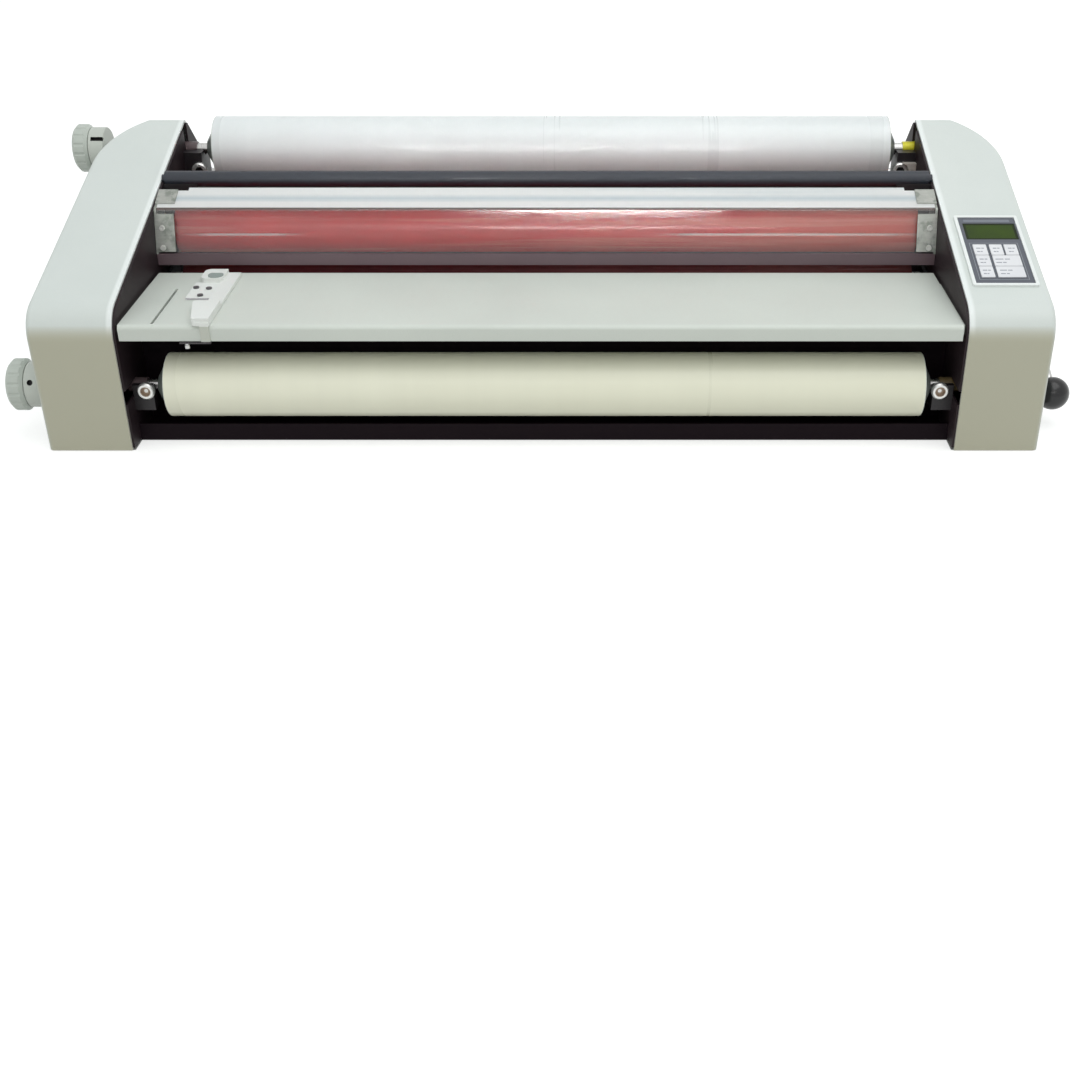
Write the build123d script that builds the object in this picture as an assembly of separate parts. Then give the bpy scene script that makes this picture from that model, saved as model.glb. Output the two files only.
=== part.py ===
from build123d import *
import math
import os

os.makedirs("parts", exist_ok=True)

# Roll laminator for wide film, standing on a table.
# Millimetres. X runs to the right of a person at the feed table, Y runs away from that person,
# Z is up from the table that the feet stand on. The origin is on that table, under the middle.
# Depths are given as distances behind the front of the side covers.

# Film, frame and covers
film_width = 672.0
film_side_room = 30.0
film_shift = 2.0
plate_t = 2.0
cover_width = 75.0
cover_wall = 2.5
cover_edge_r = 5.0
cover_floor_gap = 0.8
slope_foot_z = 127.0
slope_angle = 16.75
nose_r = 30.0
peak_depth = 308.0
peak_r = 6.0
cover_back_depth = 336.0
cover_corner_start = 235.0
cover_corner_r = 94.0
frame_depth = 390.0
plate_inset = 2.0
plate_rear_z = 139.0
foot_height = 2.6
foot_r = 14.0
foot_in = 36.0
seat_gap = 0.3
run_gap = 0.05

# Rollers
table_z = 118.0
nip_gap = 0.3
heat_depth = 188.0
heat_r = 26.85
roller_end_room = 16.0
sleeve_t = 4.0
heat_tube_wall = 3.8
heat_cap_t = 12.0
heat_journal_r = 10.0
heat_journal_out = 22.0
heater_r = 5.0
heater_hole_r = 7.0
heater_out = 29.0
pull_after_heat = 108.0
pull_r = 19.85
pull_journal_r = 8.0
pull_wall = 4.0
pull_cap_t = 12.0
pull_bore_r = 5.0
open_travel = 5.0

# Gears
gear_module = 2.0
heat_teeth = 27
pull_teeth = 20
mesh_room = 2.5
pinion_teeth = 20
gear_gap = 7.5
gear_width = 10.0
pressure_angle = 20.0
backlash = 0.2
idler_shaft_r = 6.0
motor_shaft_r = 5.0

# Film supply
upper_supply_depth = 297.5
upper_supply_z = 193.3
lower_supply_depth = 33.3
lower_supply_z = 50.7
upper_roll_r = 31.0
lower_roll_r = 28.5
core_wall = 3.4
core_bore_r = 12.7
supply_shaft_r = 5.0
supply_bush_wall = 1.5
chuck_r = 25.0
chuck_small_r = 9.0
chuck_gap = 2.0
chuck_plug = 15.0
bush_wall = 2.5
saddle_width = 18.0
saddle_half_depth = 12.0
upper_saddle_front = 18.5
upper_saddle_drop = 26.0
lower_saddle_drop = 20.0
lower_saddle_lip = 4.0
bush_through = 4.0
bush_in = 11.0
retainer_r = 7.7
retainer_t = 4.5
retainer_hex_r = 4.6
retainer_shank_r = 2.2
upper_retainer_in = 15.0
upper_retainer_drop = 17.0
lower_retainer_in = 12.5
lower_retainer_drop = 0.5
stop_width = 13.0
stop_hole_in = 4.5
clutch_r = 20.4
clutch_length = 15.2
clutch_gap = 2.0
knob_r = 23.3
knob_t = 15.3
knob_edge = 3.0
knob_flutes = 16
flute_r = 2.4

# Idler bars
upper_idler_after_heat = 18.0
upper_idler_z = 188.0
upper_idler_r = 7.3
lower_idler_depth = 84.0
lower_idler_z = 97.0
lower_idler_r = 7.0
idler_journal_r = 4.0
end_block_width = 33.0
end_block_depth = 14.0

# Pressure lever
lever_before_heat = 48.0
lever_z = 100.0
lever_shaft_r = 6.0
lever_swing = 80.0
cam_high_r = 15.0
cam_gap = 0.8
block_width = 32.0
block_arm_t = 6.0
lever_hub_r = 12.0
lever_hub_t = 11.0
lever_rod_r = 4.0
ball_r = 15.0
ball_depth = 55.0
ball_z = 32.0
ball_out = 23.3

# Feed table and paper guide
table_front_depth = 3.0
table_before_heat = 50.0
table_end_gap = 2.5
sheet_t = 2.5
table_lip = 13.9
lip_r = 4.0
table_slot_in = 31.0
table_slot_w = 2.4
table_slot_start = 8.0
table_slot_end = 95.0
guide_edge_x = -284.0
guide_width = 13.5
guide_before_table_end = 8.0
guide_h = 3.0
guide_pad_end = 47.0
guide_pad_h = 6.7
guide_pad_w = 24.0
guide_block_l = 26.0
guide_block_h = 5.7
guide_block_w = 20.5
guide_plate_l = 40.0

# Safety shield
shield_front_before_heat = 39.0
shield_bend_before_heat = 27.0
shield_over_table = 4.4
shield_bend_z = 173.2
shield_back_z = 184.5
shield_t = 3.0
shield_bend_r = 1.5
shield_pivot_before_heat = 1.5
shield_pivot_z = 175.5
shield_pin_r = 2.5
shield_trim_h = 10.9
bracket_t = 2.0
bracket_width = 18.2
bracket_back = 4.0
bracket_screw_r = 2.5

# Sheet metal base
pan_t = 1.5
pan_front_depth = 22.0
pan_lip = 14.0
bulkhead_depth = 66.0
bulkhead_top_z = 90.0
rear_panel_before_back = 9.0
rear_panel_top_z = 104.0
exit_after_pull = 26.0
exit_front_z = 114.0
front_rod_depth = 120.0
front_rod_z = 40.0
rear_rod_before_panel = 21.0
rear_rod_z = 150.0
low_rod_before_panel = 36.0
low_rod_z = 30.0
front_foot_behind_pan = 20.0
rear_foot_before_panel = 31.0

# Control panel, measured along the slope of the right cover
panel_depth = 91.7
panel_w = 52.0
panel_l = 100.0
panel_rim = 3.0
panel_rim_h = 2.2
overlay_t = 1.5
lcd_w = 47.5
lcd_l = 25.0
lcd_up = 28.5
lcd_across = 1.0
key_field_w = 39.5
key_field_l = 49.0
key_field_up = -17.2
key_column = 12.3
key_space = 0.5
pair_space = 1.5
column_space = 2.4
key_gap = 0.15
key_proud = 0.8
key_travel = 0.6
board_down = 13.0

# Power supply inside the right cover
supply_back_room = 25.0
supply_l = 72.0
supply_w = 36.0
supply_low_z = 14.0
supply_h = 60.0
supply_vents = 7

# Places worked out from the sizes above
front_y = -frame_depth / 2
gap_x = film_width / 2 + film_side_room
plate_x = gap_x + plate_t
cover_x = plate_x + cover_width
slope = math.tan(math.radians(slope_angle))
peak_z = slope_foot_z + slope * peak_depth
nip_z = table_z + nip_gap
heat_pitch = gear_module * heat_teeth
pull_pitch = gear_module * pull_teeth
heat_length = 2 * (gap_x - roller_end_room)
pull_depth = heat_depth + pull_after_heat
supply_depth = cover_corner_start + cover_corner_r - supply_back_room - supply_l
table_back_depth = heat_depth - table_before_heat
rear_panel_depth = frame_depth - rear_panel_before_back
heat_y = front_y + heat_depth
pull_y = front_y + pull_depth
heat_up_z = nip_z + heat_pitch / 2
heat_low_z = nip_z - heat_pitch / 2
pull_up_z = nip_z + pull_pitch / 2
pull_low_z = nip_z - pull_pitch / 2
upper_supply_y = front_y + upper_supply_depth
lower_supply_y = front_y + lower_supply_depth
upper_idler_y = heat_y + upper_idler_after_heat
lower_idler_y = front_y + lower_idler_depth
lever_y = heat_y - lever_before_heat
gear_x = -(plate_x + gear_gap)
gear_end_x = gear_x - gear_width
heat_tube_r = heat_r - sleeve_t
chuck_length = film_side_room - film_shift - saddle_width - chuck_gap
saddle_x = gap_x - saddle_width
supply_bush_r = supply_shaft_r + supply_bush_wall
pivot_y = heat_y - shield_pivot_before_heat


def outline(corners):
    """Flat closed shape from (u, v, radius) corners, each rounded by its own radius."""
    shape = make_face(Polyline(*[(u, v) for u, v, r in corners], close=True))
    for u, v, r in corners:
        if r > 0:
            shape = fillet(shape.vertices().sort_by_distance((u, v, 0))[0], r)
    return shape


def bent_sheet(path, thick, bend_r):
    """Outline of a sheet that follows a path of (u, v) points, with its thickness on the right."""
    normals = []
    for (u0, v0), (u1, v1) in zip(path, path[1:]):
        length = math.hypot(u1 - u0, v1 - v0)
        normals.append(((v1 - v0) / length, (u0 - u1) / length))
    near = []
    far = []
    last = len(path) - 1
    for k, (u, v) in enumerate(path):
        a = normals[max(k - 1, 0)]
        b = normals[min(k, last - 1)]
        share = thick / (1 + a[0] * b[0] + a[1] * b[1])
        bend = 0 if k in (0, last) else bend_r
        near.append((u, v, bend + thick if bend else 0))
        far.append((u + (a[0] + b[0]) * share, v + (a[1] + b[1]) * share, bend))
    return outline(near + far[::-1])


def along_x(shape, x0, x1):
    """Solid made by drawing a Y-Z shape out along X from x0 to x1."""
    return extrude(Plane.YZ.offset(min(x0, x1)) * shape, abs(x1 - x0))


def rod(radius, x0, x1, y, z):
    """Round bar along X."""
    return along_x(Pos(y, z) * Circle(radius), x0, x1)


def tube(outer, inner, x0, x1, y, z):
    """Round tube along X."""
    return along_x(Pos(y, z) * (Circle(outer) - Circle(inner)), x0, x1)


def block(x0, x1, y0, y1, z0, z1):
    """Rectangular block between two opposite corners."""
    middle = Pos((x0 + x1) / 2, (y0 + y1) / 2, (z0 + z1) / 2)
    return middle * Box(abs(x1 - x0), abs(y1 - y0), abs(z1 - z0))


def along_y(radius, x, y0, y1, z):
    """Round bar along Y."""
    turned = Plane(origin=(x, min(y0, y1), z), x_dir=(1, 0, 0), z_dir=(0, 1, 0))
    return extrude(turned * Circle(radius), abs(y1 - y0))


def both_sides(shape):
    """The shape and its mirror image across the middle plane."""
    return [shape, mirror(shape, about=Plane.YZ)]


def save(name, *shapes):
    """Write one sub-part, from one solid or a group of separate solids."""
    solids = []
    for shape in shapes:
        for one in shape if isinstance(shape, (list, tuple)) else [shape]:
            solids.extend(one.solids())
    result = solids[0] if len(solids) == 1 else Compound(children=solids)
    export_step(result, f"parts/{name}.step")


# Side frames and side covers
def side_profile(inset, bottom_z, back_depth, back_z):
    """Side view outline: upright front, round nose, long slope up to the peak, back falling away."""
    top = slope_foot_z - inset / math.cos(math.radians(slope_angle))
    front = front_y + inset
    peak = peak_depth - inset * 0.4
    fall = peak_z - inset * 1.2 - (back_depth - inset - peak)
    back_top = back_z if back_z else fall
    return outline([
        (front, bottom_z, 0),
        (front, top + slope * inset, nose_r - inset),
        (front_y + peak, top + slope * peak, peak_r),
        (front_y + back_depth - inset, back_top, 0),
        (front_y + back_depth - inset, bottom_z, 0),
    ])


def cover_plan(inset):
    """Top view outline of the right cover, with its large round rear corner."""
    start_y = front_y + cover_corner_start
    centre_x = cover_x - cover_corner_r
    depth_before = start_y - front_y + 2
    straight = Pos(plate_x / 2 + (cover_x - inset) / 2, start_y - depth_before / 2)
    corner_room = Pos(plate_x / 2 + cover_x / 2, start_y + cover_corner_r / 2)
    corner = Pos(centre_x, start_y) * Circle(cover_corner_r - inset)
    return straight * Rectangle(cover_x - inset - plate_x, depth_before) + (
        corner & corner_room * Rectangle(cover_width, cover_corner_r))


def cover_form(inset, bottom_z):
    """Solid right cover form, drawn in by the inset on every side."""
    side = side_profile(inset, bottom_z, cover_back_depth, 0)
    solid = along_x(side, plate_x, cover_x - inset)
    tall = extrude(Plane.XY.offset(bottom_z - 1) * cover_plan(inset), peak_z + 20)
    return solid & tall


standoffs = [(60.0, 100.0), (100.0, 24.0), (220.0, 24.0), (222.0, 176.0)]
standoff_r = 5.0
screw_r = 2.0
screw_head_r = 4.0
screw_head_h = 2.4
screw_length = 12.0


def side_cover():
    """Hollow right cover, open towards the frame and at the bottom."""
    form = cover_form(0, cover_floor_gap)
    outer_loop = form.faces().sort_by(Axis.X)[-1].edges()
    rim = [e for e in outer_loop if e.center().Z > cover_floor_gap + 1]
    form = fillet(rim, cover_edge_r)
    hollow = cover_form(cover_wall, cover_floor_gap - 1)
    shell = form - hollow
    for depth, z in standoffs:
        shell = shell - rod(screw_r + 0.2, cover_x - cover_wall - 1, cover_x + 1, front_y + depth, z)
    return shell


def slope_place(up, lift, x=None):
    """Place on the right cover's slope: distance up the slope from the panel's middle, and lift."""
    middle_x = plate_x + cover_width / 2 if x is None else x
    angle = math.radians(slope_angle)
    y = front_y + panel_depth + up * math.cos(angle) - lift * math.sin(angle)
    z = slope_foot_z + slope * panel_depth + up * math.sin(angle) + lift * math.cos(angle)
    return Pos(middle_x, y, z) * Rot(slope_angle, 0, 0)


def slope_block(w, l, across, up, low, high, corner=0.0):
    """Plate lying on the slope, from height low to height high, centred across and up."""
    shape = RectangleRounded(w, l, corner) if corner else Rectangle(w, l)
    plate = extrude(Pos(across, up) * shape, high - low)
    return slope_place(0, low) * plate


panel_hole_w = panel_w - 8.0
panel_hole_l = panel_l - 8.0
board_w = panel_w + 6.0
board_l = panel_l + 6.0
board_t = 1.6
board_post_r = 2.5
board_post_x = panel_w / 2 - 0.5
board_post_up = panel_l / 2 - 0.5
panel_corner = 2.0


def panel_cover():
    """Right cover with the panel's raised rim, its opening and the posts that hold the board."""
    shell = side_cover()
    rim = slope_block(panel_w + 2 * panel_rim, panel_l + 2 * panel_rim, 0, 0, -0.5, panel_rim_h, panel_corner)
    rim = rim - slope_block(panel_w + 0.2, panel_l + 0.2, 0, 0, -1, panel_rim_h + 1)
    shell = shell + rim
    shell = shell - slope_block(panel_hole_w, panel_hole_l, 0, 0, -cover_wall - 2, 1)
    for sx in (-1, 1):
        for su in (-1, 1):
            post = extrude(Pos(sx * board_post_x, su * board_post_up) * Circle(board_post_r),
                           board_down - board_t - cover_wall + 1)
            shell = shell + slope_place(0, -board_down + board_t) * post
    return shell - rod(lever_shaft_r + 1.5, cover_x - 10, cover_x + 5, lever_y, lever_z)


def drive_cover():
    """Left cover, with the two holes that the film supply shafts pass through."""
    shell = mirror(side_cover(), about=Plane.YZ)
    for y, z in ((upper_supply_y, upper_supply_z), (lower_supply_y, lower_supply_z)):
        shell = shell - rod(supply_shaft_r + 2, -cover_x - 5, -plate_x - 5, y, z)
    return shell


def bush_hole(shaft_r):
    """Radius of the hole that a bush for this shaft fills."""
    return shaft_r + bush_wall


heat_bush_wall = 4.0
slot_gap = 0.15


def side_plate(side):
    """Steel side frame. Side is -1 for the left one, which also carries the drive."""
    shape = side_profile(plate_inset, foot_height, frame_depth + plate_inset, plate_rear_z)
    holes = Pos(heat_y, heat_up_z) * Circle(heat_journal_r + heat_bush_wall)
    slot_low = heat_low_z - block_width / 2 - open_travel - 0.7
    slot_high = heat_low_z + block_width / 2 + 0.7
    slot_shape = Rectangle(block_width + 2 * slot_gap, slot_high - slot_low)
    holes += Pos(heat_y, (slot_low + slot_high) / 2) * slot_shape
    for z in (pull_up_z, pull_low_z):
        holes += Pos(pull_y, z) * Circle(bush_hole(pull_journal_r))
    holes += Pos(lever_y, lever_z) * Circle(bush_hole(lever_shaft_r))
    holes += Pos(lower_idler_y, lower_idler_z) * Circle(idler_journal_r + run_gap)
    holes += Pos(pivot_y, shield_pivot_z) * Circle(shield_pin_r + run_gap)
    holes += Pos(upper_idler_y, upper_idler_z) * Circle(idler_journal_r + run_gap)
    notch_top = upper_idler_z + 20
    holes += Pos(upper_idler_y, (upper_idler_z + notch_top) / 2) * Rectangle(
        2 * (idler_journal_r + run_gap), notch_top - upper_idler_z)
    # The film shafts and their bushes drop into notches, open at the top or at the front.
    holes += Pos(upper_supply_y, upper_supply_z) * Circle(supply_bush_r)
    holes += Pos(upper_supply_y, upper_supply_z + 15) * Rectangle(2 * supply_bush_r, 30)
    notch_l = lower_supply_y - front_y
    holes += Pos(lower_supply_y, lower_supply_z) * Circle(supply_bush_r)
    holes += Pos(lower_supply_y - notch_l / 2, lower_supply_z) * Rectangle(notch_l, 2 * supply_bush_r)
    for depth, z in standoffs:
        holes += Pos(front_y + depth, z) * Circle(screw_r)
    if side < 0:
        holes += Pos(gear_centre_y, gear_centre_z) * Circle(bush_hole(idler_shaft_r))
        holes += Pos(pinion_y, pinion_z) * Circle(motor_boss_r)
    return along_x(shape - holes, side * gap_x, side * plate_x)


# Gear train
def mesh_point(y0, z0, reach0, y1, z1, reach1):
    """Centre that is reach0 from the first point and reach1 from the second, on the lower side."""
    span = math.hypot(y1 - y0, z1 - z0)
    along = (reach0 ** 2 - reach1 ** 2 + span ** 2) / (2 * span)
    aside = math.sqrt(reach0 ** 2 - along ** 2)
    uy = (y1 - y0) / span
    uz = (z1 - z0) / span
    return y0 + along * uy + aside * uz, z0 + along * uz - aside * uy


# The idler gear gets the fewest teeth that reach both of its neighbours from below.
train_span = math.hypot(pull_y - heat_y, pull_up_z - heat_up_z)
half_teeth = gear_module * (heat_teeth + pull_teeth) / 2
idler_teeth = math.ceil((train_span + mesh_room - half_teeth) / gear_module)
gear_centre_y, gear_centre_z = mesh_point(
    heat_y, heat_up_z, gear_module * (heat_teeth + idler_teeth) / 2,
    pull_y, pull_up_z, gear_module * (pull_teeth + idler_teeth) / 2)
pinion_y = gear_centre_y
pinion_z = gear_centre_z - gear_module * (idler_teeth + pinion_teeth) / 2
motor_boss_r = 11.0
motor_offset = 12.0
gearbox_r = 25.0
gearbox_l = 28.0
motor_r = 21.0
motor_l = 62.0


def gear_outline(teeth, phase):
    """Involute spur gear with one tooth centred at the phase angle, in radians."""
    pitch_r = gear_module * teeth / 2
    base_r = pitch_r * math.cos(math.radians(pressure_angle))
    tip_r = pitch_r + gear_module
    root_r = pitch_r - 1.25 * gear_module
    involute = math.tan(math.radians(pressure_angle)) - math.radians(pressure_angle)
    half_pitch_angle = math.pi / (2 * teeth) - backlash / (2 * pitch_r)
    start_r = max(base_r, root_r)
    steps = 4

    def half_angle(radius):
        roll = math.acos(min(1.0, base_r / radius))
        return half_pitch_angle + involute - (math.tan(roll) - roll)

    flank = [(root_r, half_angle(start_r))]
    for step in range(steps + 1):
        radius = start_r + (tip_r - start_r) * step / steps
        if radius > root_r + 1e-6:
            flank.append((radius, half_angle(radius)))
    points = []
    for tooth in range(teeth):
        middle = phase + 2 * math.pi * tooth / teeth
        for radius, angle in flank:
            points.append((radius * math.cos(middle - angle), radius * math.sin(middle - angle)))
        for radius, angle in reversed(flank):
            points.append((radius * math.cos(middle + angle), radius * math.sin(middle + angle)))
    return make_face(Polyline(*points, close=True))


def mesh_phase(phase, teeth, other_teeth, y, z, other_y, other_z):
    """Phase of the other gear that puts its tooth gap on this gear's tooth at rest."""
    heading = math.atan2(other_z - z, other_y - y)
    return heading + math.pi - math.pi / other_teeth - teeth / other_teeth * (phase - heading)


def gear(teeth, phase, y, z, bore_r):
    """Spur gear of the drive train on its shaft, left of the left side plate."""
    shape = Pos(y, z) * (gear_outline(teeth, phase) - Circle(bore_r))
    return along_x(shape, gear_x, gear_end_x)


heat_phase = 0.0
low_heat_phase = mesh_phase(heat_phase, heat_teeth, heat_teeth, heat_y, heat_up_z, heat_y, heat_low_z)
idler_phase = mesh_phase(heat_phase, heat_teeth, idler_teeth,
                         heat_y, heat_up_z, gear_centre_y, gear_centre_z)
pull_phase = mesh_phase(idler_phase, idler_teeth, pull_teeth,
                        gear_centre_y, gear_centre_z, pull_y, pull_up_z)
low_pull_phase = mesh_phase(pull_phase, pull_teeth, pull_teeth, pull_y, pull_up_z, pull_y, pull_low_z)
pinion_phase = mesh_phase(idler_phase, idler_teeth, pinion_teeth,
                          gear_centre_y, gear_centre_z, pinion_y, pinion_z)

save("upper_heat_gear", gear(heat_teeth, heat_phase, heat_y, heat_up_z, heat_journal_r))
save("lower_heat_gear", gear(heat_teeth, low_heat_phase, heat_y, heat_low_z, heat_journal_r))
save("upper_pull_gear", gear(pull_teeth, pull_phase, pull_y, pull_up_z, pull_journal_r))
save("lower_pull_gear", gear(pull_teeth, low_pull_phase, pull_y, pull_low_z, pull_journal_r))

idler_gear = gear(idler_teeth, idler_phase, gear_centre_y, gear_centre_z, idler_shaft_r)
idler_gear += rod(idler_shaft_r, -gap_x + 5, gear_end_x - 3, gear_centre_y, gear_centre_z)
save("drive_idler_gear", idler_gear)

pinion = gear(pinion_teeth, pinion_phase, pinion_y, pinion_z, motor_shaft_r)
pinion += rod(motor_shaft_r, -gap_x + gearbox_l / 2, gear_end_x - 2, pinion_y, pinion_z)
save("motor_pinion", pinion)

gearbox = rod(gearbox_r, -gap_x, -gap_x + gearbox_l, pinion_y, pinion_z - motor_offset)
gearbox += rod(motor_r, -gap_x + gearbox_l, -gap_x + gearbox_l + motor_l, pinion_y, pinion_z - motor_offset)
gearbox += rod(motor_boss_r - run_gap, -plate_x, -gap_x + 1, pinion_y, pinion_z)
gearbox -= rod(motor_shaft_r + run_gap, -plate_x - 1, -gap_x + gearbox_l / 2 + 1, pinion_y, pinion_z)
save("drive_motor", gearbox)

save("side_plate_left", side_plate(-1))
save("side_plate_right", side_plate(1))
save("side_cover_left", drive_cover())
save("side_cover_right", panel_cover())


# Bushes pressed into the side plates
def bush(side, shaft_r, wall, y, z, stand):
    """Flanged bush in a side plate, with its flange on the outer face."""
    body = rod(shaft_r + wall, side * gap_x, side * (plate_x + stand), y, z)
    flange = rod(shaft_r + wall + 2, side * plate_x, side * (plate_x + stand), y, z)
    return (body + flange) - rod(shaft_r + run_gap, side * (gap_x - 1), side * (plate_x + stand + 1), y, z)


bushes = []
for side in (-1, 1):
    bushes.append(bush(side, heat_journal_r, heat_bush_wall, heat_y, heat_up_z, 5.0))
    bushes.append(bush(side, pull_journal_r, bush_wall, pull_y, pull_up_z, 5.0))
    bushes.append(bush(side, pull_journal_r, bush_wall, pull_y, pull_low_z, 5.0))
    # The cams run on the outer face of the plate, so this bush has no flange there.
    plain = rod(bush_hole(lever_shaft_r), side * gap_x, side * plate_x, lever_y, lever_z)
    bore = rod(lever_shaft_r + run_gap, side * (gap_x - 1), side * (plate_x + 1), lever_y, lever_z)
    bushes.append(plain - bore)
bushes.append(bush(-1, idler_shaft_r, bush_wall, gear_centre_y, gear_centre_z, 5.0))


# Rollers
def roller(radius, length, wall, cap_t, journal_r, left_out, right_out, y, z, bore_r):
    """Roller with journals; a wall makes it a capped tube and a bore runs through its journals."""
    half = length / 2
    body = rod(radius, -half, half, y, z)
    if wall:
        body -= rod(radius - wall, -half + cap_t, half - cap_t, y, z)
    body += rod(journal_r, -plate_x - left_out, -half, y, z)
    body += rod(journal_r, half, plate_x + right_out, y, z)
    if bore_r:
        body -= rod(bore_r, -plate_x - left_out - 1, -half + cap_t + 1, y, z)
        body -= rod(bore_r, half - cap_t - 1, plate_x + right_out + 1, y, z)
    return body


for name, z in (("upper", heat_up_z), ("lower", heat_low_z)):
    core = roller(heat_tube_r, heat_length, heat_tube_wall, heat_cap_t, heat_journal_r,
                  heat_journal_out, 9.0, heat_y, z, heater_hole_r)
    save(f"{name}_heat_roller", core)
    save(f"{name}_heat_sleeve", tube(heat_r, heat_tube_r, -heat_length / 2, heat_length / 2, heat_y, z))
for name, z in (("upper", pull_up_z), ("lower", pull_low_z)):
    save(f"{name}_pull_roller", roller(pull_r, heat_length, pull_wall, pull_cap_t, pull_journal_r,
                                       gear_gap + gear_width + 2, 7.0, pull_y, z, pull_bore_r))

# Tubular heaters inside the hollow heat rollers
holder_t = 2.0
holder_before_heat = 42.0
holder_foot_l = 11.0
holder_low_z = heat_up_z - 13.0
holder_high_z = heat_up_z + 9.0
holder_x = plate_x + heater_out
holder_y = heat_y - holder_before_heat


def holder_plate(side, foot_low, foot_high, z):
    """Strip that reaches round the gear from a foot on the frame to the heater's end."""
    arm_y = holder_y
    arm = block(side * (plate_x + 1), side * (holder_x + holder_t),
                arm_y, arm_y + holder_t, foot_low, foot_high)
    eye = Pos(heat_y, z) * Circle(8.0)
    bar = outline([(arm_y, foot_low, 0), (arm_y, foot_high, 0), (heat_y, z + 8, 0), (heat_y, z - 8, 0)])
    return arm + along_x(bar + eye, side * holder_x, side * (holder_x + holder_t))


def heater(z):
    """Sheathed heating rod that stands still inside its roller."""
    return rod(heater_r, -holder_x - holder_t - 4, holder_x + holder_t + 4, heat_y, z)


upper_holders = []
for side in (-1, 1):
    foot = block(side * plate_x, side * (plate_x + 2), holder_y, holder_y + holder_foot_l,
                 holder_low_z, holder_high_z)
    piece = foot + holder_plate(side, holder_low_z, holder_high_z, heat_up_z)
    eye_hole = rod(heater_r, side * (holder_x - 1), side * (holder_x + holder_t + 1), heat_y, heat_up_z)
    upper_holders.append(piece - eye_hole)
save("upper_heater", heater(heat_up_z), upper_holders)
save("lower_heater", heater(heat_low_z))

# Sliding bearing blocks of the lower heat roller, which rest on the cams
cam_drop_rate = open_travel / lever_swing
arm_under_z = lever_z + cam_high_r + cam_gap
arm_top_z = arm_under_z + 7.0


def bearing_block(side):
    """Block in the side plate's slot, with an arm over the cam and a holder for the heater."""
    half = block_width / 2
    square = Pos(heat_y, heat_low_z) * Rectangle(block_width, block_width)
    slide = along_x(square, side * (gap_x - 3), side * (plate_x + seat_gap))
    arm_front = lever_y - 16
    shape = outline([
        (heat_y - half, heat_low_z - half - 3, 0),
        (heat_y + half, heat_low_z - half - 3, 0),
        (heat_y + half, arm_top_z, 0),
        (arm_front, arm_top_z, 0),
        (arm_front, arm_under_z, 0),
        (heat_y - half - 12, arm_under_z, 0),
        (heat_y - half, arm_under_z - 15, 0),
    ])
    slide += along_x(shape, side * (plate_x + seat_gap), side * (plate_x + seat_gap + block_arm_t))
    slide += holder_plate(side, arm_under_z, arm_top_z, heat_low_z)
    slide -= rod(heat_journal_r + run_gap, side * (gap_x - 4), side * (plate_x + 12), heat_y, heat_low_z)
    return slide - rod(heater_r, side * (holder_x - 1), side * (holder_x + holder_t + 1), heat_y, heat_low_z)


save("lower_bearing_blocks", bearing_block(-1), bearing_block(1))

# Pressure shaft with its two cams, and the hand lever
cam_t = 5.4
cam_play = 0.6


def cam_radius(angle):
    """Cam radius at an angle from its top, in degrees, growing smaller as the lever is raised."""
    return cam_high_r - cam_drop_rate * angle


def cam_outline():
    """Spiral cam: an even fall over the lever's swing, with run-out at both ends."""
    points = []
    for angle in range(-20, 111, 5):
        radius = cam_radius(angle)
        points.append((lever_y - radius * math.sin(math.radians(angle)),
                       lever_z + radius * math.cos(math.radians(angle))))
    for angle in range(130, 331, 20):
        share = (angle - 110) / 230
        radius = cam_radius(110) * (1 - share) + cam_radius(-20) * share
        points.append((lever_y - radius * math.sin(math.radians(angle)),
                       lever_z + radius * math.cos(math.radians(angle))))
    return make_face(Polyline(*points, close=True))


cam_in_x = plate_x + cam_play
cam_out_x = cam_in_x + cam_t
pressure_shaft = rod(lever_shaft_r, -cam_out_x - 2, cover_x + 1.5 + lever_hub_t, lever_y, lever_z)
for side in (-1, 1):
    pressure_shaft += along_x(cam_outline(), side * cam_in_x, side * cam_out_x)
save("pressure_shaft", pressure_shaft)

hub_x = cover_x + 1.5
ball_centre = Vector(cover_x + ball_out, front_y + ball_depth, ball_z)
arm_start = Vector(hub_x + lever_hub_t / 2 + 1, lever_y, lever_z)
arm_axis = ball_centre - arm_start
lever_arm = Plane(origin=arm_start, z_dir=arm_axis) * extrude(Circle(lever_rod_r), arm_axis.length - 6)
hub = tube(lever_hub_r, lever_shaft_r, hub_x, hub_x + lever_hub_t, lever_y, lever_z)
hub = chamfer(hub.edges().filter_by(GeomType.CIRCLE).group_by(SortBy.RADIUS)[-1], 1.0)
lever = hub + lever_arm - rod(lever_shaft_r, hub_x - 2, hub_x + lever_hub_t + 2, lever_y, lever_z)
save("pressure_lever", lever)
save("lever_ball", Pos(ball_centre) * Sphere(ball_r) - lever_arm)


# Film supply shafts with clutch hubs, core chucks, film rolls, saddles and knobs
knob_x = -(cover_x + clutch_gap + clutch_length)


def supply_shaft(y, z, keyway):
    """Shaft that carries a roll, with the friction clutch housing outside the left cover."""
    shaft = rod(supply_shaft_r, knob_x - knob_t + 4, plate_x + 2, y, z)
    housing = rod(clutch_r, knob_x, knob_x + clutch_length, y, z)
    housing = chamfer(housing.edges().filter_by(GeomType.CIRCLE), 0.8)
    if keyway:
        cut = Pos(knob_x + 9.4, y, z) * Rot(-40, 0, 0) * Pos(0, -clutch_r, 0) * Box(12.5, 8, 4.2)
    else:
        cut = Pos(0, -clutch_r, 0) * Rot(90, 0, 0) * Cylinder(2.6, 9)
        cut = Pos(knob_x + 6.3, y, z) * Rot(-27, 0, 0) * cut
    return shaft + (housing - cut)


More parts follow.
